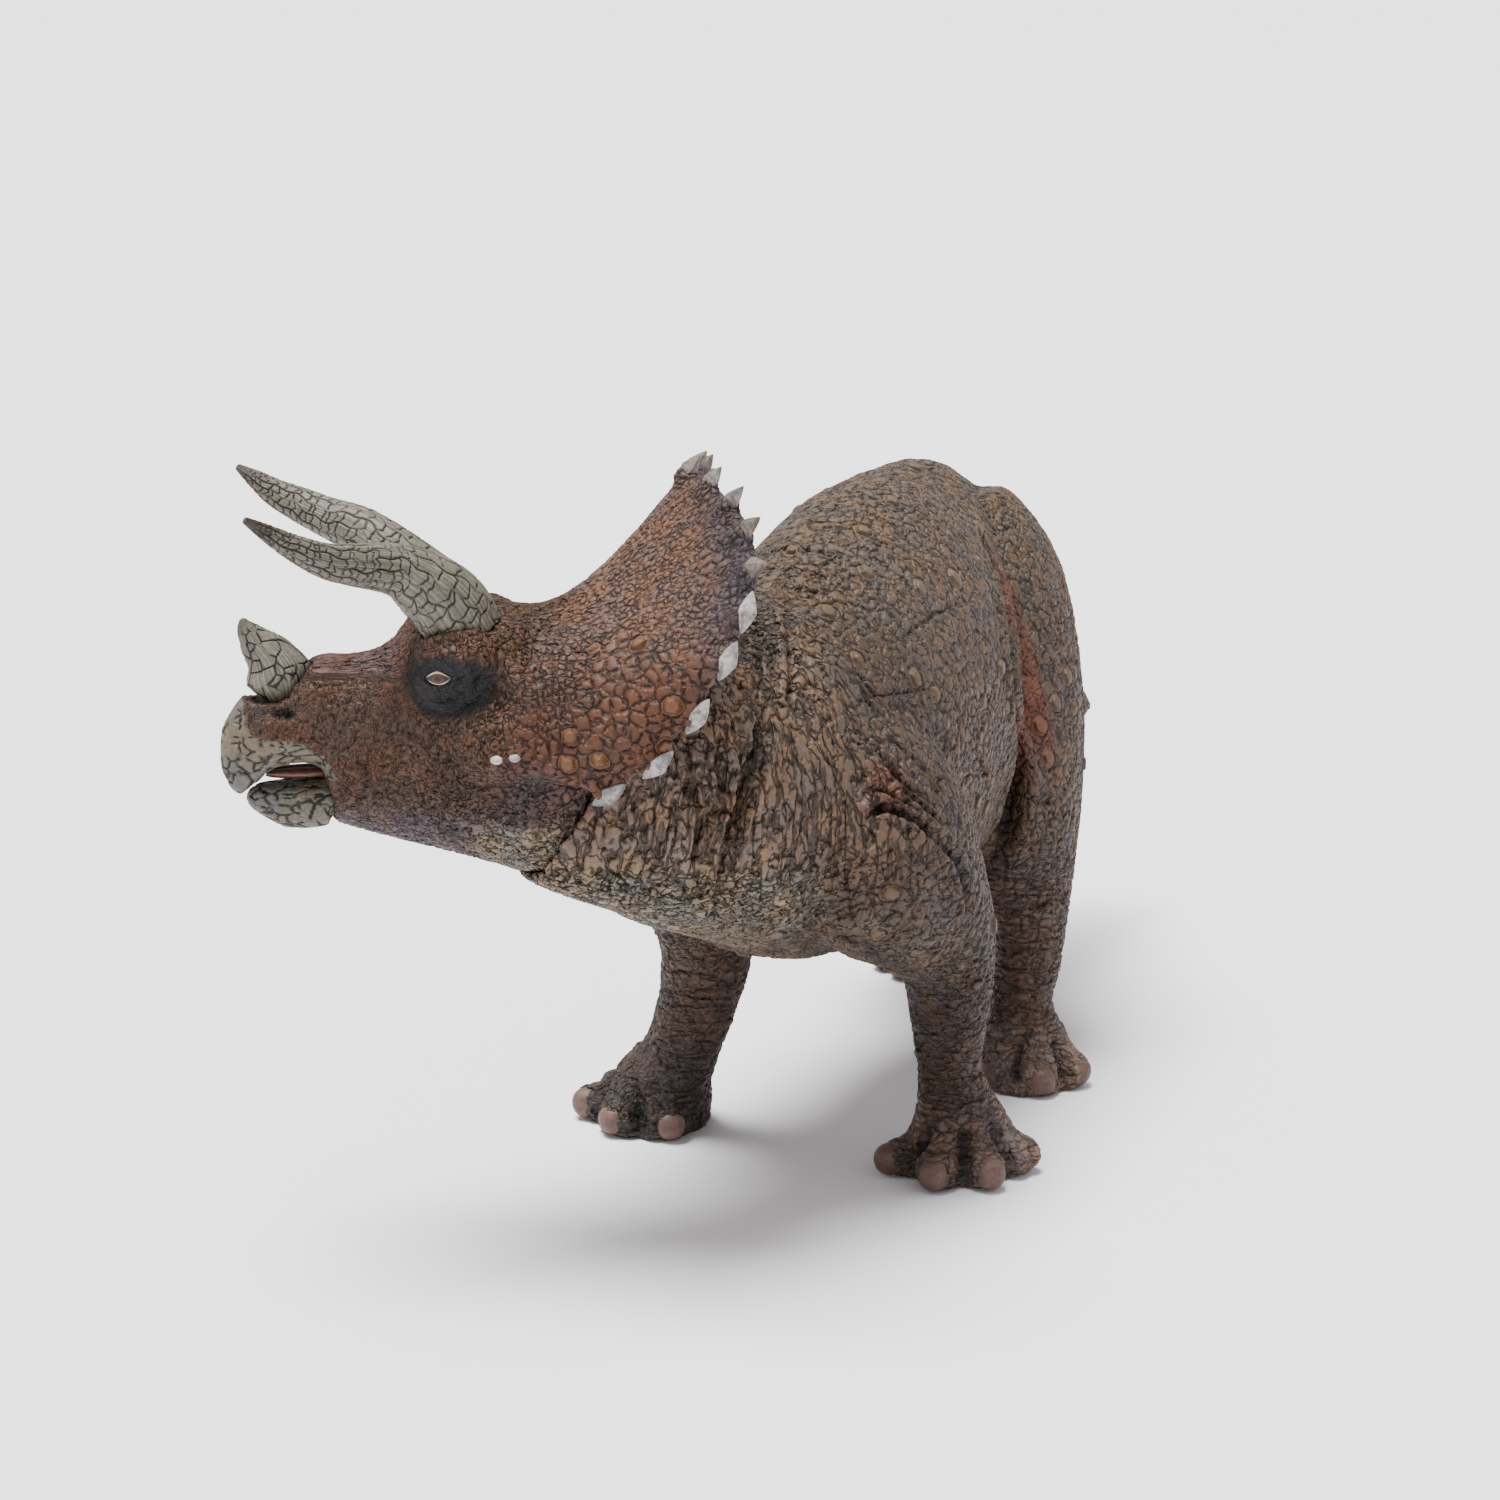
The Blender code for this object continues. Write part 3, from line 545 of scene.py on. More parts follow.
FEET = {
    "front_left": ((34.3, -21.5), ((26.0, -29.0), (34.2, -32.0), (41.1, -28.0), (43.4, -21.4))),
    "front_right": ((-13.0, -23.5), ((-23.4, -27.2), (-16.3, -32.0), (-7.8, -30.2))),
    "hind_left": ((29.2, 17.0), ((25.9, 10.7), (33.7, 10.8), (37.0, 17.4))),
    "hind_right": ((-6.5, 62.0), ((-1.8, 54.5), (-7.8, 53.7), (-13.0, 57.4))),
}


def toe_frame(ankle, tip):
    way = (Vector((*tip, 0)) - Vector((*ankle, 0))).normalized()
    return way, way.to_track_quat("X", "Z").to_matrix()


# Clefts between toes: shares of the way from the ankle to the nails, each with its height in mm
CLEFT_SHARES = ((0.5, 8.5), (0.75, 5.0), (0.9, 2.5), (0.95, 0.3))
CLEFT_WIDTH, CLEFT_DEPTH = 0.95, 1.3
TOE_RADII, NAIL_RADII = (5.0, 2.5, 2.7), (2.5, 2.2, 2.25)

toes, clefts = [], []
for ankle, tips in FEET.values():
    for tip in tips:
        way, turn = toe_frame(ankle, tip)
        lean = turn @ Matrix.Rotation(math.radians(20), 3, "Y")
        toes.append((Vector((*tip, 3.2)) - way * 3.6, TOE_RADII, lean))
    for a, b in zip(tips, tips[1:]):
        middle = (np.array(a) + np.array(b)) / 2
        reach = np.array(middle) - np.array(ankle)
        cleft = [(*(np.array(ankle) + reach * share), z) for share, z in CLEFT_SHARES]
        clefts.append((cleft, CLEFT_WIDTH, CLEFT_DEPTH))


# Hide of the body, legs and tail

# Creases of the near side, traced over the photograph in its pixels, each with a width and depth in mm
CREASE_PIXELS = (
    # Thigh against flank
    (
        (
            (985, 545), (1000, 580), (1006, 620), (1010, 660), (1013, 700), (1015, 740),
            (1015, 780), (1010, 815), (1002, 840), (988, 862),
        ),
        1.5,
        2.8,
    ),
    # Flank
    (((852, 668), (875, 695), (906, 693), (945, 685)), 0.3, 0.4),
    (((948, 687), (945, 745), (939, 783), (935, 806)), 0.32, 0.5),
    (((937, 781), (968, 777), (998, 771)), 0.32, 0.5),
    (((875, 725), (898, 745), (929, 775), (937, 806)), 0.34, 0.5),
    (((891, 648), (914, 629), (945, 608), (972, 598)), 0.3, 0.3),
    (((979, 714), (975, 752), (987, 775), (983, 806)), 0.34, 0.5),
    # Shoulder folds
    (((858, 685), (870, 705), (880, 715)), 0.5, 0.6),
    (((872, 745), (885, 760), (895, 775), (915, 790), (935, 808)), 0.4, 0.9),
    (((893, 772), (905, 790), (925, 808), (940, 822)), 0.4, 0.8),
    (
        (
            (865, 822), (874, 812), (885, 807), (897, 809), (908, 815), (920, 822),
            (932, 833), (945, 850),
        ),
        0.6,
        1.7,
    ),
    (((866, 790), (880, 790), (895, 796), (912, 806), (930, 820)), 0.4, 0.8),
    (((940, 838), (950, 850), (958, 862), (964, 880), (968, 900), (966, 925)), 0.7, 1.0),
    (((850, 850), (845, 880), (850, 915), (870, 945)), 0.34, 0.5),
    (((790, 935), (820, 930), (850, 938), (880, 955)), 0.4, 0.6),
    # Neck folds
    (((758, 600), (757, 630), (760, 660), (768, 690), (775, 715)), 0.9, 1.3),
    (((748, 650), (756, 680), (762, 710), (760, 745), (745, 790), (735, 820), (728, 860)), 0.95, 1.5),
    (((770, 610), (772, 650), (776, 690)), 0.8, 1.1),
    (((740, 750), (740, 800), (725, 850), (722, 900)), 0.8, 1.1),
    (((690, 780), (700, 810), (698, 850)), 0.7, 0.9),
    (((786, 600), (790, 640), (790, 700), (800, 720)), 0.7, 0.8),
    (((715, 745), (722, 780), (712, 830)), 0.7, 1.0),
    (((745, 600), (742, 640), (738, 665)), 0.9, 1.3),
    (((720, 800), (700, 830), (690, 870)), 0.6, 0.7),
    (((640, 790), (632, 815)), 0.5, 0.6),
    (((610, 810), (600, 850)), 0.4, 0.4),
    (((756, 675), (764, 706), (752, 737)), 0.4, 0.8),
    (((729, 679), (752, 695), (762, 725)), 0.4, 0.8),
    (((741, 791), (725, 822), (718, 860), (718, 891)), 0.42, 0.8),
    (((743, 798), (741, 830), (739, 868)), 0.34, 0.6),
    (((685, 745), (685, 791), (679, 822)), 0.4, 0.8),
    (((775, 729), (748, 760), (733, 791)), 0.4, 0.8),
    # Nape
    (((760, 555), (790, 550), (820, 552), (850, 560)), 0.5, 0.4),
    (((762, 570), (800, 572), (830, 580)), 0.5, 0.45),
    (((765, 586), (800, 590), (840, 596)), 0.5, 0.5),
    # Rings of the legs
    (((1020, 800), (1050, 802), (1080, 800)), 0.4, 0.6),
    (((1010, 900), (1040, 905), (1070, 900)), 0.4, 0.6),
    (((905, 1000), (940, 1006), (975, 1003)), 0.4, 0.6),
    (((908, 1050), (940, 1058), (975, 1054)), 0.4, 0.6),
    (((905, 1080), (940, 1088), (980, 1084)), 0.4, 0.6),
)

# The body's middle plane, in mm
MIDDLE = 9.4

# Voxels of the skins in mm: first a coarse skin that rounds the joins, then the fine one
BODY_COARSE, HEAD_COARSE, SKIN_FINE = 0.8, 0.5, 0.36

body = skin_of("body_skin", HIDE, BODY_COARSE, SKIN_FINE, 8, toes)
mm = coordinates(body.data) / MM
tree = BVHTree.FromPolygons(
    [v.co for v in body.data.vertices], [p.vertices for p in body.data.polygons], all_triangles=False
)
lines = [(snapped(tree, line), width, depth) for line, width, depth in clefts]
for row, width, depth in CREASE_PIXELS:
    line = traced(tree, row)
    lines.append((line, width, depth))
    across = [(2 * MIDDLE - a, b, c) for a, b, c in line]
    lines.append((snapped(tree, across), width, depth * 0.8))
mm, painted_crease_shade, crease_wash_and_shade = pressed(mm, normals(body.data), lines)
move(body.data, mm * MM)
x, y, z = mm.T
leg = ramp(-z, -42, -28)
foot = ramp(-z, -14, -6)
out = normals(body.data)
throat = ramp(-z, -62, -50) * ramp(-y, 24, 38) * ramp(z, 24, 30) * ramp(-out[:, 2], 0.1, 0.6)
throat *= 0.3 + 0.7 * ramp(-y, 48, 60)
fold = ramp(-y, 34, 50) * ramp(z, 44, 56)
neck = ramp(-y, 38, 60) * ramp(z, 34, 48)
# Where the top of the back gets painted light
top = ramp(z, 60, 88) * ramp(y, -50, -20)
red = ramp(-np.abs(y - 17.5), -6.5, -2.5) * ramp(-z, -82, -74) * ramp(z, 44, 56)
red += 0.6 * near(mm, (33, -45, 61), 7)
weave = mm.copy()
weave[:, 2] += 0.5 * np.minimum(z - 34, 0)
weave[:, 2] -= fold * 0.3 * (z - 64)
weave *= 0.92
pull = mixed(mm * (1, 1, 0.2), mm * (0.3, 0.3, 1.1), leg)
store(body.data, "rest", mm * MM)
store(body.data, "weave", weave * MM)
store(body.data, "wrinkles", np.clip(0.6 + 0.4 * fold + 0.4 * leg, 0, 1))
lip = np.maximum(near(mm, (-2, -80.5, 55), 6), near(mm, (5, -83.5, 58), 6))
store(body.data, "amount", (0.3 + 0.1 * throat - 0.08 * leg) * (1 - 0.7 * lip))
store(body.data, "pull", pull * MM)
store(body.data, "crease_wash_and_shade", crease_wash_and_shade)
store(body.data, "coarse", 0.12 * (1 - leg) - 0.4 * throat)
store(body.data, "worms", np.clip(0.22 + 0.2 * fold + 0.6 * throat, 0, 0.9))
store(body.data, "grooved", 1 - 0.4 * leg)
store(body.data, "furrows", np.clip(0.2 + 0.6 * fold + 0.2 * neck + 0.5 * leg, 0, 0.9))
store(body.data, "warts", 0.3 * ramp(y, -40, -20) * ramp(z, 40, 50) + 0.12 * ramp(-z, -60, -50))
# The top of the back is painted lighter: painted light from the overhead key
tone = mixed(np.tile(paint("74604e"), (len(x), 1)), paint("86735f"), top)
tone = mixed(tone, paint("85705c"), neck)
tone = mixed(tone, paint("6e5745"), leg)
tone = mixed(tone, paint("857266"), foot)
tone = mixed(tone, paint("75644f"), throat)
tone = mixed(tone, paint("8f4a30"), np.clip(red, 0, 0.85))
# The far legs and feet are painted darker: painted shade under the body and head
far = ramp(-x, 0, 4) * ramp(-y, 5, 10)
shoulder = ramp(x, 20, 28) * ramp(-y, 20, 30)
level = 1 + 0.6 * fold - 0.3 * shoulder - 0.15 * far * leg
level *= 1 + (0.9 - 1.35 * far) * foot
tone *= level[:, None]
tone = tone * (0.72, 0.68, 0.7)
tone = mixed(tone, paint("7d6f5b"), throat * ramp(-y, 48, 60))
spot = mixed(tone * 1.3, paint("a08256"), 0.4 * (1 - leg))
dry = mixed(tone * (1.5 - 0.2 * leg)[:, None], paint("8f7450"), 0.3 * (1 - leg) * (1 - throat))
dry = mixed(dry, paint("d0c3a6"), throat)
wash = mixed(tone * 0.3, paint("2e2729"), 0.4 * np.maximum(top, leg))
wash = mixed(wash, paint("17110f"), throat)
# Painted shade in the creases, over their dark wash: the tone and the dry brush go near black there
tone = mixed(tone, paint("120d0b"), painted_crease_shade * 0.7)
dry = mixed(dry, paint("120d0b"), painted_crease_shade * 0.7)
for name, values in (("tone", tone), ("dry", dry), ("wash", wash), ("spot", spot)):
    store(body.data, name, values)
displaced(body)

# The soles end at the floor
skin = coordinates(body.data)
skin[:, 2] = np.maximum(skin[:, 2], 0)
move(body.data, skin)
hide_paint = painted_hide("painted_pvc_hide")
for node, piece in split_by_node(body, HIDE).items():
    finish_piece(piece, [node], hide_paint)


# Head

EYE = np.array((2.4, 13.4, 4.4))
EYE_RADII = (1.65, 1.05, 0.6)
COLLAR = (
    (6.2, 7.5, 12.8),
    (5.6, 10.0, 11.6),
    (3.6, 11.6, 9.6),
    (1.6, 12.4, 9.4),
    (-0.8, 12.1, 10.1),
    (-2.9, 11.6, 12.0),
    (-4.2, 10.0, 13.8),
)
HEAD_CREASES = (
    (((-10.6, 9.8, 8.2), (-14.1, 12.5, 7.4), (-18.5, 17.0, 7.0)), 0.4, 0.4),
    (((12.0, 7.8, -6.0), (11.0, 8.3, -9.5), (12.5, 7.5, -12.0)), 0.5, 0.4),
    (((16.5, 6.0, -7.0), (15.0, 6.6, -10.0), (14.8, 6.5, -12.5)), 0.45, 0.45),
    (((24.2, 2.5, 1.6), (21.5, 4.2, 1.2), (18.8, 4.6, 2.4)), 0.5, 0.5),
)


def both_sides(lines):
    for line, width, depth in lines:
        for side in (1, -1):
            yield [(a, side * b, c) for a, b, c in line], width, depth


jaw_root = (in_head((13.6, 0, -12.4)) / MM, (2.6, 5.6, 4.2), HEAD_TURN)
horn_root = [(in_head((-1.5, side * 7, 8)) / MM, (4, 4, 4), Matrix.Identity(3)) for side in (1, -1)]
head = skin_of("head_skin", ["head"], HEAD_COARSE, SKIN_FINE, 2, horn_root + [jaw_root])
tree = BVHTree.FromPolygons(
    [v.co for v in head.data.vertices], [p.vertices for p in head.data.polygons], all_triangles=False
)
head_lines = []
collars = [(COLLAR, 0.7, -0.55), ([(a, b - 0.4, c + 0.9) for a, b, c in COLLAR], 0.35, 0.35)]
for line, width, depth in both_sides(HEAD_CREASES + tuple(collars)):
    head_lines.append((snapped(tree, in_head(line) / MM), width, depth))
mm = coordinates(head.data) / MM
out = normals(head.data)
f, l, u = to_head(mm * MM).T
side = np.abs(l)
folded = np.column_stack((f, side, u))
out_local = out @ HEAD_AXES.T
out_local[:, 1] *= np.where(l < 0, -1, 1)
beside = np.linalg.norm(folded - EYE, axis=1) < 3
eye_out = out_local[beside].mean(axis=0)
eye_out /= np.linalg.norm(eye_out)
eye_along = np.array((1, 0, -0.14)) - eye_out * (np.array((1, 0, -0.14)) @ eye_out)
eye_along /= np.linalg.norm(eye_along)
eye_up = np.cross(eye_along, eye_out)
eye_up *= np.sign(eye_up[2])
apart = folded - EYE
a, b = apart @ eye_along, apart @ eye_up
from_eye = np.hypot(a * 0.9, b)
lid = np.hypot(a / 1.65, b / (0.85 * np.sqrt(np.clip(1 - (a / 2.1) ** 2, 0.15, 1))))
close = ramp(-from_eye, -6, -4)
push = close * (-0.95 * ramp(-lid, -1.12, -0.85) + 0.3 * np.exp(-(((lid - 1.35) / 0.28) ** 2)))
push += 0.13 * np.cos(from_eye * 3.4) * ramp(-from_eye, -6.2, -4.5) * ramp(from_eye, 1.8, 2.6)
push -= 0.5 * np.exp(-((from_eye / 4.2) ** 2))
from_nostril = np.linalg.norm((folded - (21.3, 4.9, -1.1)) / (1.5, 1.6, 0.62), axis=1)
push -= 1.0 * np.exp(-(from_nostril**2) * 1.2)
mm = mm + out * push[:, None]
mm, painted_crease_shade, crease_wash_and_shade = pressed(mm, out, head_lines)
move(head.data, mm * MM)
store(head.data, "rest", mm * MM)
frill = ramp(-f + 0.25 * side - 0.4 * u, 8.5, 14) * ramp(u, -14, -9)
beak_at = [-9.5, -8, -6.8, -5.5, -4.6, -4.5, -3.8, -1.8, 0, 2]
beak_from = [14.8, 15.6, 16.6, 18.2, 20.6, 24.2, 25.4, 25.9, 26, 25.4]
beak_line = np.interp(u, beak_at, beak_from) + 0.25 * np.sin(u * 4) + 0.2 * np.sin(f * 3)
beak = ramp(f - beak_line, -0.25, 0.25) * ramp(-u, -3.4, -2.6)
bridge = ramp(u, 2.8, 3.8) * ramp(f, 4.5, 7) * ramp(-f, -20, -17.5)
reach = np.sqrt((f + 4) ** 2 + l**2 + u**2)
outward = (folded - (-4, 0, 0)) / reach[:, None]
behind = ramp(-f, 2, 10) * np.maximum(reach - 13, 0)
weave = folded * 1.4 - outward * (0.45 * behind)[:, None]
weave += folded * (0.3 * ramp(f, -2, 12))[:, None]
weave = mixed(weave, folded * (0.3, 1.5, 2.2), bridge)
plates = folded * (0.85, 1, 1.15)
lower = ramp(-u + 0.1 * reach, -9, 2)
rim = ramp(reach, 33, 40)
band = frill * lower * ramp(reach, 18, 24) * ramp(-reach, -39, -35)
ripple = 0.5 * np.sin(a * 2.1 + b) * np.cos(b * 2.3 - a) + 0.25 * np.sin(a * 5.3 + 2) * np.cos(b * 4.7)
patch = ramp(-np.hypot((a + 0.8) * 0.82, (b + 1.2) * 1.25) + ripple, -5.9, -4.3)
throat = ramp(-u, 13.5, 17) * ramp(-f, 0, 5)
store(head.data, "weave", weave * MM)
store(head.data, "plates", plates * MM)
beak *= np.maximum(ramp(u, -10.2, -9.4), ramp(f, 17, 19))
store(head.data, "beak", beak)
store(head.data, "furrows", 0.4 * (1 - frill) * ramp(from_eye, 5, 8) * (1 - bridge) + 0.75 * bridge)
store(head.data, "pull", mixed(folded * (0.6, 1, 0.9), folded * (0.22, 1.4, 1.8), bridge) * MM)
store(head.data, "crease_wash_and_shade", crease_wash_and_shade)
store(head.data, "coarse", 0.5 * band - 0.12)
store(head.data, "worms", np.clip(0.65 - 0.45 * frill + 0.2 * throat, 0, 1))
store(head.data, "wrinkles", 0.7 * (1 - frill))
store(head.data, "amount", (0.3 - 0.1 * ramp(f, 0, 10) + 0.04 * frill) * (1 - 0.75 * patch))
store(head.data, "grooved", (0.95 - 0.4 * ramp(f, -2, 10) * ramp(u, -12, -8)) * (1 - patch * 0.8))
store(head.data, "warts", band * 0.55)
tone = mixed(np.tile(paint("66462f"), (len(f), 1)), paint("87634f"), frill * (1 - lower))
tone = mixed(tone, paint("6e4c42"), bridge)
tone = mixed(tone, paint("663e28"), frill * lower)
tone = mixed(tone, paint("604c49"), rim * frill)
tone = mixed(tone, paint("6b5652"), ramp(-u, 12, 15) * (1 - frill))
dark_cheek = np.maximum(near(folded, (-9, 15.5, -10), 8), near(folded, (-15, 17, -12), 8))
tone = mixed(tone, paint("4d4040"), dark_cheek * 0.9)
tone *= np.array((0.86, 0.87, 0.93)) * (1 + 0.08 * bridge + 0.08 * frill)[:, None]
tone = mixed(tone, paint("0f0b0d"), patch)
tone *= (1 + 0.35 * patch * np.cos(from_eye * 3.4 + ripple))[:, None]
tone = mixed(tone, paint("4c3e3c"), near(folded, (24.5, 3.5, -1.5), 3) * 0.7)
tone = mixed(tone, paint("7a6c58"), throat)
tone = mixed(tone, paint("817b6b"), beak)
# The nostril hollows are painted near black: painted shade
tone = mixed(tone, paint("0c0807"), ramp(-from_nostril, -1.35, -0.8))
# Painted shade in the head's creases, over their dark wash
tone = mixed(tone, paint("150e0c"), painted_crease_shade * 0.5 * (1 - beak))
dry = mixed(tone * 1.5, paint("8a5530"), 0.3 * (1 - frill) * (1 - bridge) * (1 - patch) * ramp(u, -12, -8))
dry = mixed(dry, paint("b06f42"), band * 0.35)
spot = np.tile(paint("9c6c44"), (len(f), 1))
dry = mixed(dry, tone * 1.2, patch)
dry = mixed(dry, paint("c9bba0"), throat)
dry = mixed(dry, paint("9a9483"), beak)
wash = mixed(tone * 0.22, paint("1d1713"), beak)
wash = mixed(wash, paint("17110f"), throat)
for name, values in (("tone", tone), ("dry", dry), ("wash", wash), ("spot", spot)):
    store(head.data, name, values)
displaced(head, True)
finish_piece(head, ["head"], painted_hide("painted_pvc_head", True))


# Lower beak and tongue

jaw_back = (in_head((15.4, 0, -12.8)) / MM, (1.7, 4.9, 2.9), HEAD_TURN)
jaw = skin_of("lower_jaw_skin", ["lower_jaw"], 0.45, 0.26, 2, [jaw_back])
mm = coordinates(jaw.data) / MM
f, l, u = to_head(mm * MM).T
store(jaw.data, "rest", mm * MM)
store(jaw.data, "weave", mm * MM)
store(jaw.data, "pull", mm * MM)
store(jaw.data, "plates", np.column_stack((f * 0.7, l, u * 1.3)) * MM)
JAW_VALUES = {"beak": 1, "grooved": 1, "amount": 0.1, "crease_wash_and_shade": 3}
for name in ("beak", "grooved", "amount", "crease_wash_and_shade", "wrinkles", "furrows", "warts", "coarse", "worms"):
    value = JAW_VALUES.get(name, 0)
    store(jaw.data, name, np.full(len(f), float(value)))
for name, value in (("tone", "817b6a"), ("dry", "9a9483"), ("wash", "1d1713"), ("spot", "9a9483")):
    store(jaw.data, name, np.tile(paint(value), (len(f), 1)))
displaced(jaw, True)
finish_piece(jaw, ["lower_jaw"], painted_hide("painted_pvc_jaw", True))

tongue = skin_of("tongue_skin", ["tongue"], 0.4, 0.25, 2)
mm = coordinates(tongue.data) / MM
f, l, u = to_head(mm * MM).T
mm[:, 2] -= 0.35 * np.exp(-((l / 0.5) ** 2))
move(tongue.data, mm * MM)
store(tongue.data, "rest", mm * MM)
store(tongue.data, "tone", np.tile(paint("8a5b4c"), (len(f), 1)))
finish_piece(tongue, ["tongue"], painted("painted_pvc_tongue", 0.4, 0.5))


# Horns

LEFT_HORN = (
    (-2.0, 6.7, 8.8, 4.6),
    (-0.1, 7.2, 11.9, 4.9),
    (2.05, 8.0, 14.4, 4.5),
    (4.7, 8.8, 16.35, 3.8),
    (7.35, 9.8, 17.7, 3.2),
    (12.2, 13.2, 19.0, 2.6),
    (15.4, 15.6, 20.0, 2.2),
    (18.6, 17.2, 21.65, 1.75),
    (21.2, 18.2, 23.3, 1.3),
    (23.2, 19.0, 24.7, 0.9),
    (25.0, 19.8, 26.0, 0.4),
)
RIGHT_HORN = (
    (-1.5, -6.7, 7.6, 4.6),
    (0.4, -7.2, 10.3, 4.9),
    (2.1, -7.9, 12.0, 4.6),
    (4.1, -8.7, 13.9, 4.2),
    (6.6, -9.9, 16.0, 3.8),
    (8.8, -11.4, 17.7, 3.4),
    (10.8, -12.9, 18.8, 3.1),
    (14.6, -15.4, 20.1, 2.6),
    (17.7, -17.0, 21.4, 2.3),
    (20.7, -18.1, 22.8, 1.85),
    (23.2, -19.0, 24.5, 1.25),
    (25.5, -19.9, 26.1, 0.42),
)
NOSE_HORN = (
    (20.8, 0, -0.2, 2.4),
    (21.1, 0, 1.5, 3.7),
    (21.5, 0, 3.0, 4.2),
    (22.4, 0, 5.0, 3.3),
    (24.0, 0, 7.0, 2.3),
    (25.2, 0, 8.8, 1.3),
    (25.7, 0, 10.0, 0.4),
)


def smooth_rows(rows, steps):
    """Rows read along a smooth curve through the given rows."""
    rows = np.array(rows, float)
    ends = np.vstack([2 * rows[0] - rows[1], rows, 2 * rows[-1] - rows[-2]])
    made = []
    for before, here, there, after in zip(ends, ends[1:], ends[2:], ends[3:]):
        for t in np.arange(steps) / steps:
            made.append(
                here
                + (there - before) * t / 2
                + (before * 2 - here * 5 + there * 4 - after) * t * t / 2
                + (here * 3 - before - there * 3 + after) * t**3 / 2
            )
    made.append(ends[-2])
    return np.array(made)


def brick_cracks(along, turn, radius, rows, seed):
    """Depth of a brick-like net of cracks over a horn, from 0 to 1."""
    chance = np.random.default_rng(seed)
    wobble = 0.02 * np.sin(along * 0.55 + seed) + 0.012 * np.sin(along * 1.7 + seed * 2)
    cell = (turn + wobble) * rows
    row = np.floor(cell).astype(int) % rows
    inside = cell - np.floor(cell)
    girth = radius * math.tau / rows
    edge = np.minimum(inside, 1 - inside) * girth
    line = np.floor(cell + 0.5).astype(int) % rows
    strength = 0.6 + 0.4 * np.sin(along * 0.5 + line * 2.3 + seed)
    depth = np.clip(strength * 1.4, 0.0, 1) * np.exp(-((edge / 0.11) ** 2))
    for n in range(rows):
        place = chance.uniform(0, 3)
        while place < along.max():
            lean, bow = chance.uniform(-0.6, 0.6), chance.uniform(0.1, 0.6)
            curve = place + lean * inside + bow * (inside - 0.5) ** 2 * 4
            curve = curve + 0.08 * np.sin(inside * 11 + place * 5)
            reach = ramp(inside, chance.uniform(-0.5, 0.2), chance.uniform(0.2, 0.4) + 0.01)
            mark = chance.uniform(0.6, 1) * reach * np.exp(-((np.abs(along - curve) / 0.12) ** 2))
            depth = np.where(row == n, np.maximum(depth, mark), depth)
            place += chance.uniform(0.45, 1.05) * (np.interp(place, along[:, 0], girth[:, 0]) + 0.4)
    return depth


def polygon_cracks(along, turn, radius, count, seed):
    """Depth of a broken net of irregular polygons over a horn, from 0 to 1."""
    chance = np.random.default_rng(seed)
    seeds = np.column_stack((chance.uniform(0, along.max(), count), chance.uniform(0, 1, count)))
    gaps = []
    for s, t in seeds:
        apart = np.abs(turn - t)
        apart = np.minimum(apart, 1 - apart) * radius * math.tau
        gaps.append(np.hypot(along - s, apart))
    gaps = np.sort(np.array(gaps), axis=0)
    broken = ramp(np.sin(along * 1.3 + turn * 19) + np.sin(turn * 31 - along * 0.9), -1.3, 0.1)
    return broken * np.exp(-(((gaps[1] - gaps[0]) / 0.2) ** 2))


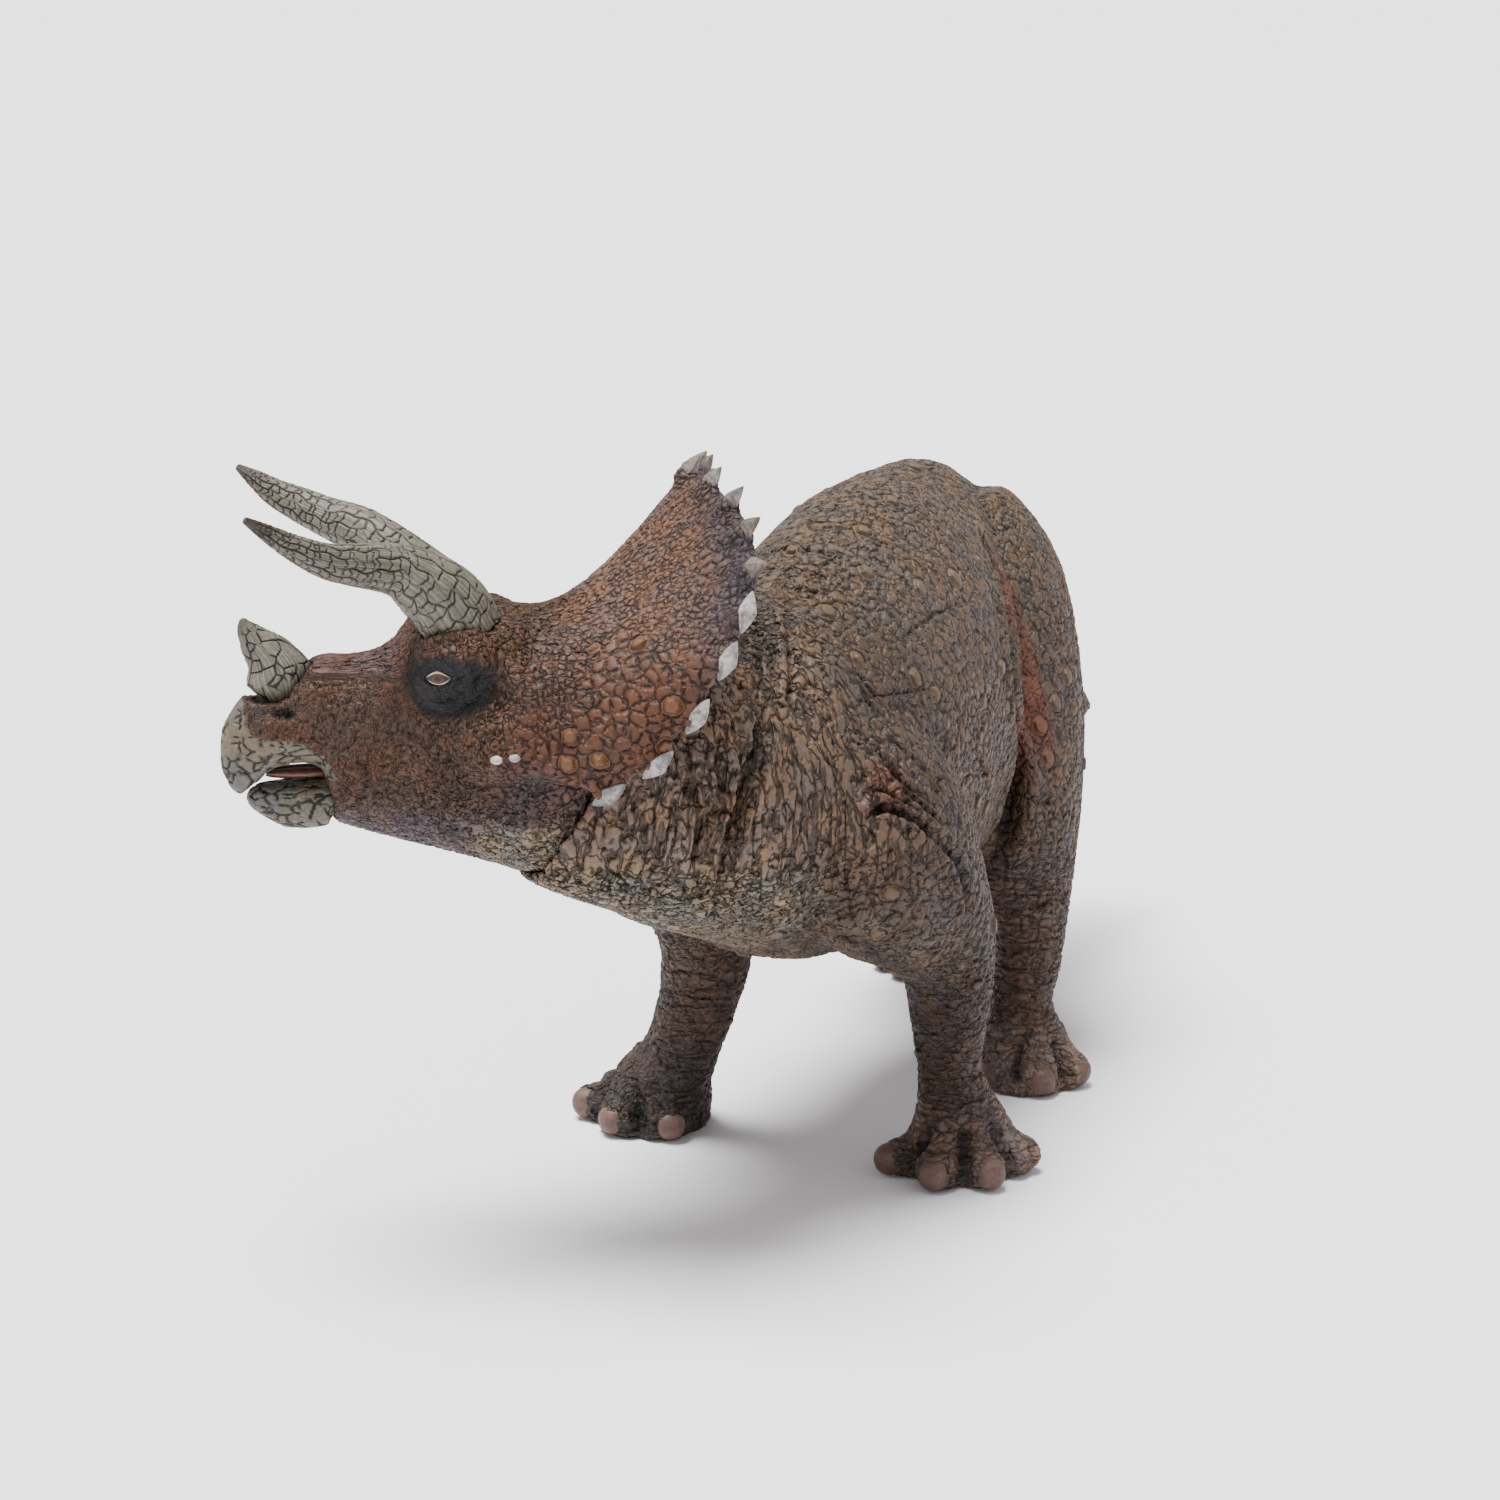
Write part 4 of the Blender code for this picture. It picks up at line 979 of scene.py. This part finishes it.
def horn(name, node, rows, steps, pattern, tip_tone, flat=1.0):
    """A horn in keratin-grey paint, its cracks and growth lines cut into a fine skin."""
    stations = smooth_rows(rows, steps)
    centres, radii = stations[:, :3], stations[:, 3]
    along = np.concatenate(([0], np.cumsum(np.linalg.norm(np.diff(centres, axis=0), axis=1))))
    even = np.linspace(0, along[-1], 380)
    centres = np.column_stack([np.interp(even, along, centres[:, k]) for k in range(3)])
    radii = np.interp(even, along, radii)
    ways = np.gradient(centres, axis=0)
    ways /= np.linalg.norm(ways, axis=1)[:, None]
    first = np.cross(ways, np.array((0.2, 1, 0.1)))
    first /= np.linalg.norm(first, axis=1)[:, None]
    second = np.cross(ways, first)
    sides = 200
    grid_along, grid_turn = np.meshgrid(even, np.arange(sides) / sides, indexing="ij")
    grid_radius = np.repeat(radii[:, None], sides, axis=1)
    crack = pattern(grid_along, grid_turn, grid_radius)
    crack *= ramp(-grid_along, -along[-1] + 0.2, -along[-1] + 2.5)
    chance = np.random.default_rng(5)
    streaks = np.zeros_like(crack)
    for _ in range(26):
        k, phase, slow = chance.integers(6, 60), chance.uniform(0, 6.3), chance.uniform(-0.25, 0.25)
        streaks += np.sin(k * grid_turn * math.tau + phase + slow * grid_along)
    streaks = streaks / streaks.std()
    reach = grid_radius - crack * np.minimum(0.22, grid_radius * 0.12) + streaks * 0.02
    angle = grid_turn * math.tau
    points = (
        centres[:, None, :]
        + first[:, None, :] * (np.cos(angle) * reach)[..., None]
        + second[:, None, :] * (np.sin(angle) * reach * flat)[..., None]
    )
    rings, spots = len(even), points.reshape(-1, 3)
    spots = np.vstack((spots, centres[0], centres[-1] + ways[-1] * radii[-1] * 0.5))
    faces = []
    for i in range(rings - 1):
        a, b = i * sides, (i + 1) * sides
        faces += [(a + j, b + j, b + (j + 1) % sides, a + (j + 1) % sides) for j in range(sides)]
    low, high = rings * sides, rings * sides + 1
    last = (rings - 1) * sides
    faces += [(low, j, (j + 1) % sides) for j in range(sides)]
    faces += [(high, last + (j + 1) % sides, last + j) for j in range(sides)]
    mesh = bpy.data.meshes.new(name)
    mesh.from_pydata((in_head(spots)).tolist(), [], faces)
    shape = bmesh.new()
    shape.from_mesh(mesh)
    bmesh.ops.recalc_face_normals(shape, faces=shape.faces)
    shape.to_mesh(mesh)
    shape.free()
    thing = new_object(name, mesh)
    crack = np.append(crack.ravel(), (0, 0))
    streaks = np.append(streaks.ravel(), (0, 0))
    share = np.append((grid_along / along[-1]).ravel(), (0, 1))
    tone = mixed(np.tile(paint("8b8574"), (len(crack), 1)), paint("a39d8c"), ramp(streaks, -0.5, 1.6))
    tone = mixed(tone, paint("6f6757"), 0.7 * ramp(-streaks, 0.2, 1.8))
    tone = mixed(tone, paint(tip_tone), ramp(share, 0.8, 1) * 0.8)
    tone = mixed(tone, paint("1d1612"), np.clip(crack * 1.8, 0, 1) * 0.95)
    store(mesh, "tone", tone)
    store(mesh, "rest", in_head(spots))
    finish_piece(thing, [node], horn_paint)


horn_paint = painted("painted_pvc_horn", 0.5, 0.3)
left_bricks = partial(brick_cracks, rows=12, seed=3)
right_bricks = partial(brick_cracks, rows=12, seed=8)
polygons = partial(polygon_cracks, count=80, seed=4)
horn("brow_horn_left_skin", "brow_horn_left", LEFT_HORN, 12, left_bricks, "5a4a3c")
horn("brow_horn_right_skin", "brow_horn_right", RIGHT_HORN, 12, right_bricks, "5a4a3c")
horn("nose_horn_skin", "nose_horn", NOSE_HORN, 24, polygons, "6a6253", 0.8)


# Nails, eyes, studs and cheek spikes


def lumps(name, shapes, tone, material, segments=(28, 18), edged=False):
    """Rounded closed forms in one piece: centre, radii, a turn and a power that squares them off."""
    shape = bmesh.new()
    edge = []
    for centre, radii, turn, power in shapes:
        made = bmesh.ops.create_uvsphere(shape, u_segments=segments[0], v_segments=segments[1], radius=1)
        for vertex in made["verts"]:
            co = Vector([math.copysign(abs(c) ** power, c) for c in vertex.co])
            edge.append(1 - abs(co.z))
            vertex.co = turn @ Vector([a * b for a, b in zip(co, radii)]) + Vector(centre)
    mesh = bpy.data.meshes.new(name)
    shape.to_mesh(mesh)
    shape.free()
    mesh.transform(Matrix.Scale(MM, 4))
    thing = new_object(name, mesh)
    co = coordinates(mesh)
    store(mesh, "rest", co)
    tone = np.tile(paint(tone), (len(co), 1))
    if edged:
        tone = mixed(tone, tone * 0.35, 0.85 * ramp(np.array(edge), 0.72, 0.95))
    store(mesh, "tone", tone)
    finish_piece(thing, [], material)
    return thing


nail_paint = painted("painted_pvc_nail", 0.5, 0.3)
eye_gloss = painted("painted_pvc_eye", 0.3, 0.3, 0.0)
for name, (ankle, tips) in FEET.items():
    shapes = []
    for tip in tips[:3]:
        way, turn = toe_frame(ankle, tip)
        lean = turn @ Matrix.Rotation(math.radians(12), 3, "Y")
        shapes.append((Vector((*tip, 2.55)) - way * 0.5, NAIL_RADII, lean, 0.88))
    lumps("nails_" + name, shapes, "8a6c60", nail_paint)

for side, name in ((1, "eye_left"), (-1, "eye_right")):
    mirror = np.array((1, side, 1))
    axes = np.column_stack((eye_along * mirror, eye_up * mirror, eye_out * mirror))
    turn = Matrix((HEAD_AXES.T @ axes).tolist())
    middle = (EYE - eye_out * 0.75) * mirror
    eyeball = (in_head(middle) / MM, EYE_RADII, turn, 1)
    ball = lumps(name, [eyeball], "241a17", eye_gloss, (64, 48))
    co = (to_head(coordinates(ball.data)) - middle) @ axes
    ring = np.abs(co[:, 1]) / (0.96 * np.clip(1 - (co[:, 0] / 1.62) ** 2, 0.02, 1)) + 0.1 * np.abs(co[:, 0])
    tone = mixed(np.tile(paint("241c20"), (len(co), 1)), paint("fff2d8"), ramp(-ring, -1.04, -0.98))
    tone = mixed(tone, paint("1c1311"), ramp(-ring, -0.8, -0.74))
    iris = np.hypot(co[:, 0] / 0.84, co[:, 1] / 0.8)
    tone = mixed(tone, paint("632816"), ramp(-iris, -1.0, -0.86) * ramp(-ring, -0.74, -0.68))
    tone = mixed(tone, paint("0d0807"), ramp(-iris, -0.5, -0.38))
    ball.data.attributes.remove(ball.data.attributes["tone"])
    store(ball.data, "tone", tone)

STUDS = (
    (-30.5, 0, 27.2),
    (-32.3, 6.5, 26.7),
    (-34.0, 12.5, 25.3),
    (-35.0, 18.0, 22.8),
    (-35.0, 22.0, 18.8),
    (-34.0, 24.5, 14.0),
    (-31.6, 25.0, 8.3),
    (-28.1, 24.0, 1.4),
    (-23.5, 22.3, -4.8),
    (-17.8, 20.0, -8.9),
)
stud_paint = painted("painted_pvc_stud", 0.55, 0.3, 1.0, 0.4)
rim = [(a, -b, c) for a, b, c in STUDS[:0:-1]] + list(STUDS)
rim = np.array(rim)
spikes, diamonds = [], []
for n, point in enumerate(rim):
    tangent = Vector(rim[min(n + 1, len(rim) - 1)] - rim[max(n - 1, 0)]).normalized()
    outward = Vector(point) - Vector((-8, 0, 0))
    outward = (outward - tangent * outward.dot(tangent)).normalized()
    third = tangent.cross(outward)
    turn = HEAD_TURN @ Matrix((tangent, outward, third)).transposed()
    centre = Vector(in_head(Vector(point) + outward * 0.4) / MM)
    if abs(n - 9) <= 4:
        spikes.append((centre, (1.5, 2.3, 1.2), turn, 1.7))
    else:
        diamonds.append((centre, (2.7, 1.5, 1.35), turn, 1.6))
lumps("frill_spikes", spikes, "94867e", stud_paint, (32, 24), True)
lumps("frill_studs", diamonds, "cfc8c4", stud_paint, (32, 24), True)
CHEEK_SPIKES = ((-4.4, 17.3, -5.0), (-6.6, 17.5, -4.8))
CHEEK_RADII = (0.8, 0.75, 0.55)
cheeks = []
for side in (1, -1):
    for a, b, c in CHEEK_SPIKES:
        cheeks.append((in_head((a, side * b, c)) / MM, CHEEK_RADII, HEAD_TURN, 1.0))
lumps("cheek_spikes", cheeks, "ded8ce", stud_paint)


# Floor
bpy.ops.mesh.primitive_plane_add(size=40)
floor = bpy.context.object
floor.name = "floor"
floor_paint = bpy.data.materials.new("white_board")
floor_paint.use_nodes = True
shader = floor_paint.node_tree.nodes["Principled BSDF"]
shader.inputs["Base Color"].default_value = (*linear("f4f0f5"), 1)
shader.inputs["Roughness"].default_value = 0.8
floor.data.materials.append(floor_paint)


# Light: a wide key from overhead and an even white fill
KEY_FROM, KEY_STRENGTH = (-0.16, -0.14, 1.0), 8.2
FILL_STRENGTH = 0.75

camera()
key_light(KEY_FROM, KEY_STRENGTH)
world = bpy.data.worlds.new("studio")
world.use_nodes = True
world.node_tree.nodes["Background"].inputs["Color"].default_value = (1, 1, 1, 1)
world.node_tree.nodes["Background"].inputs["Strength"].default_value = FILL_STRENGTH
bpy.context.scene.world = world
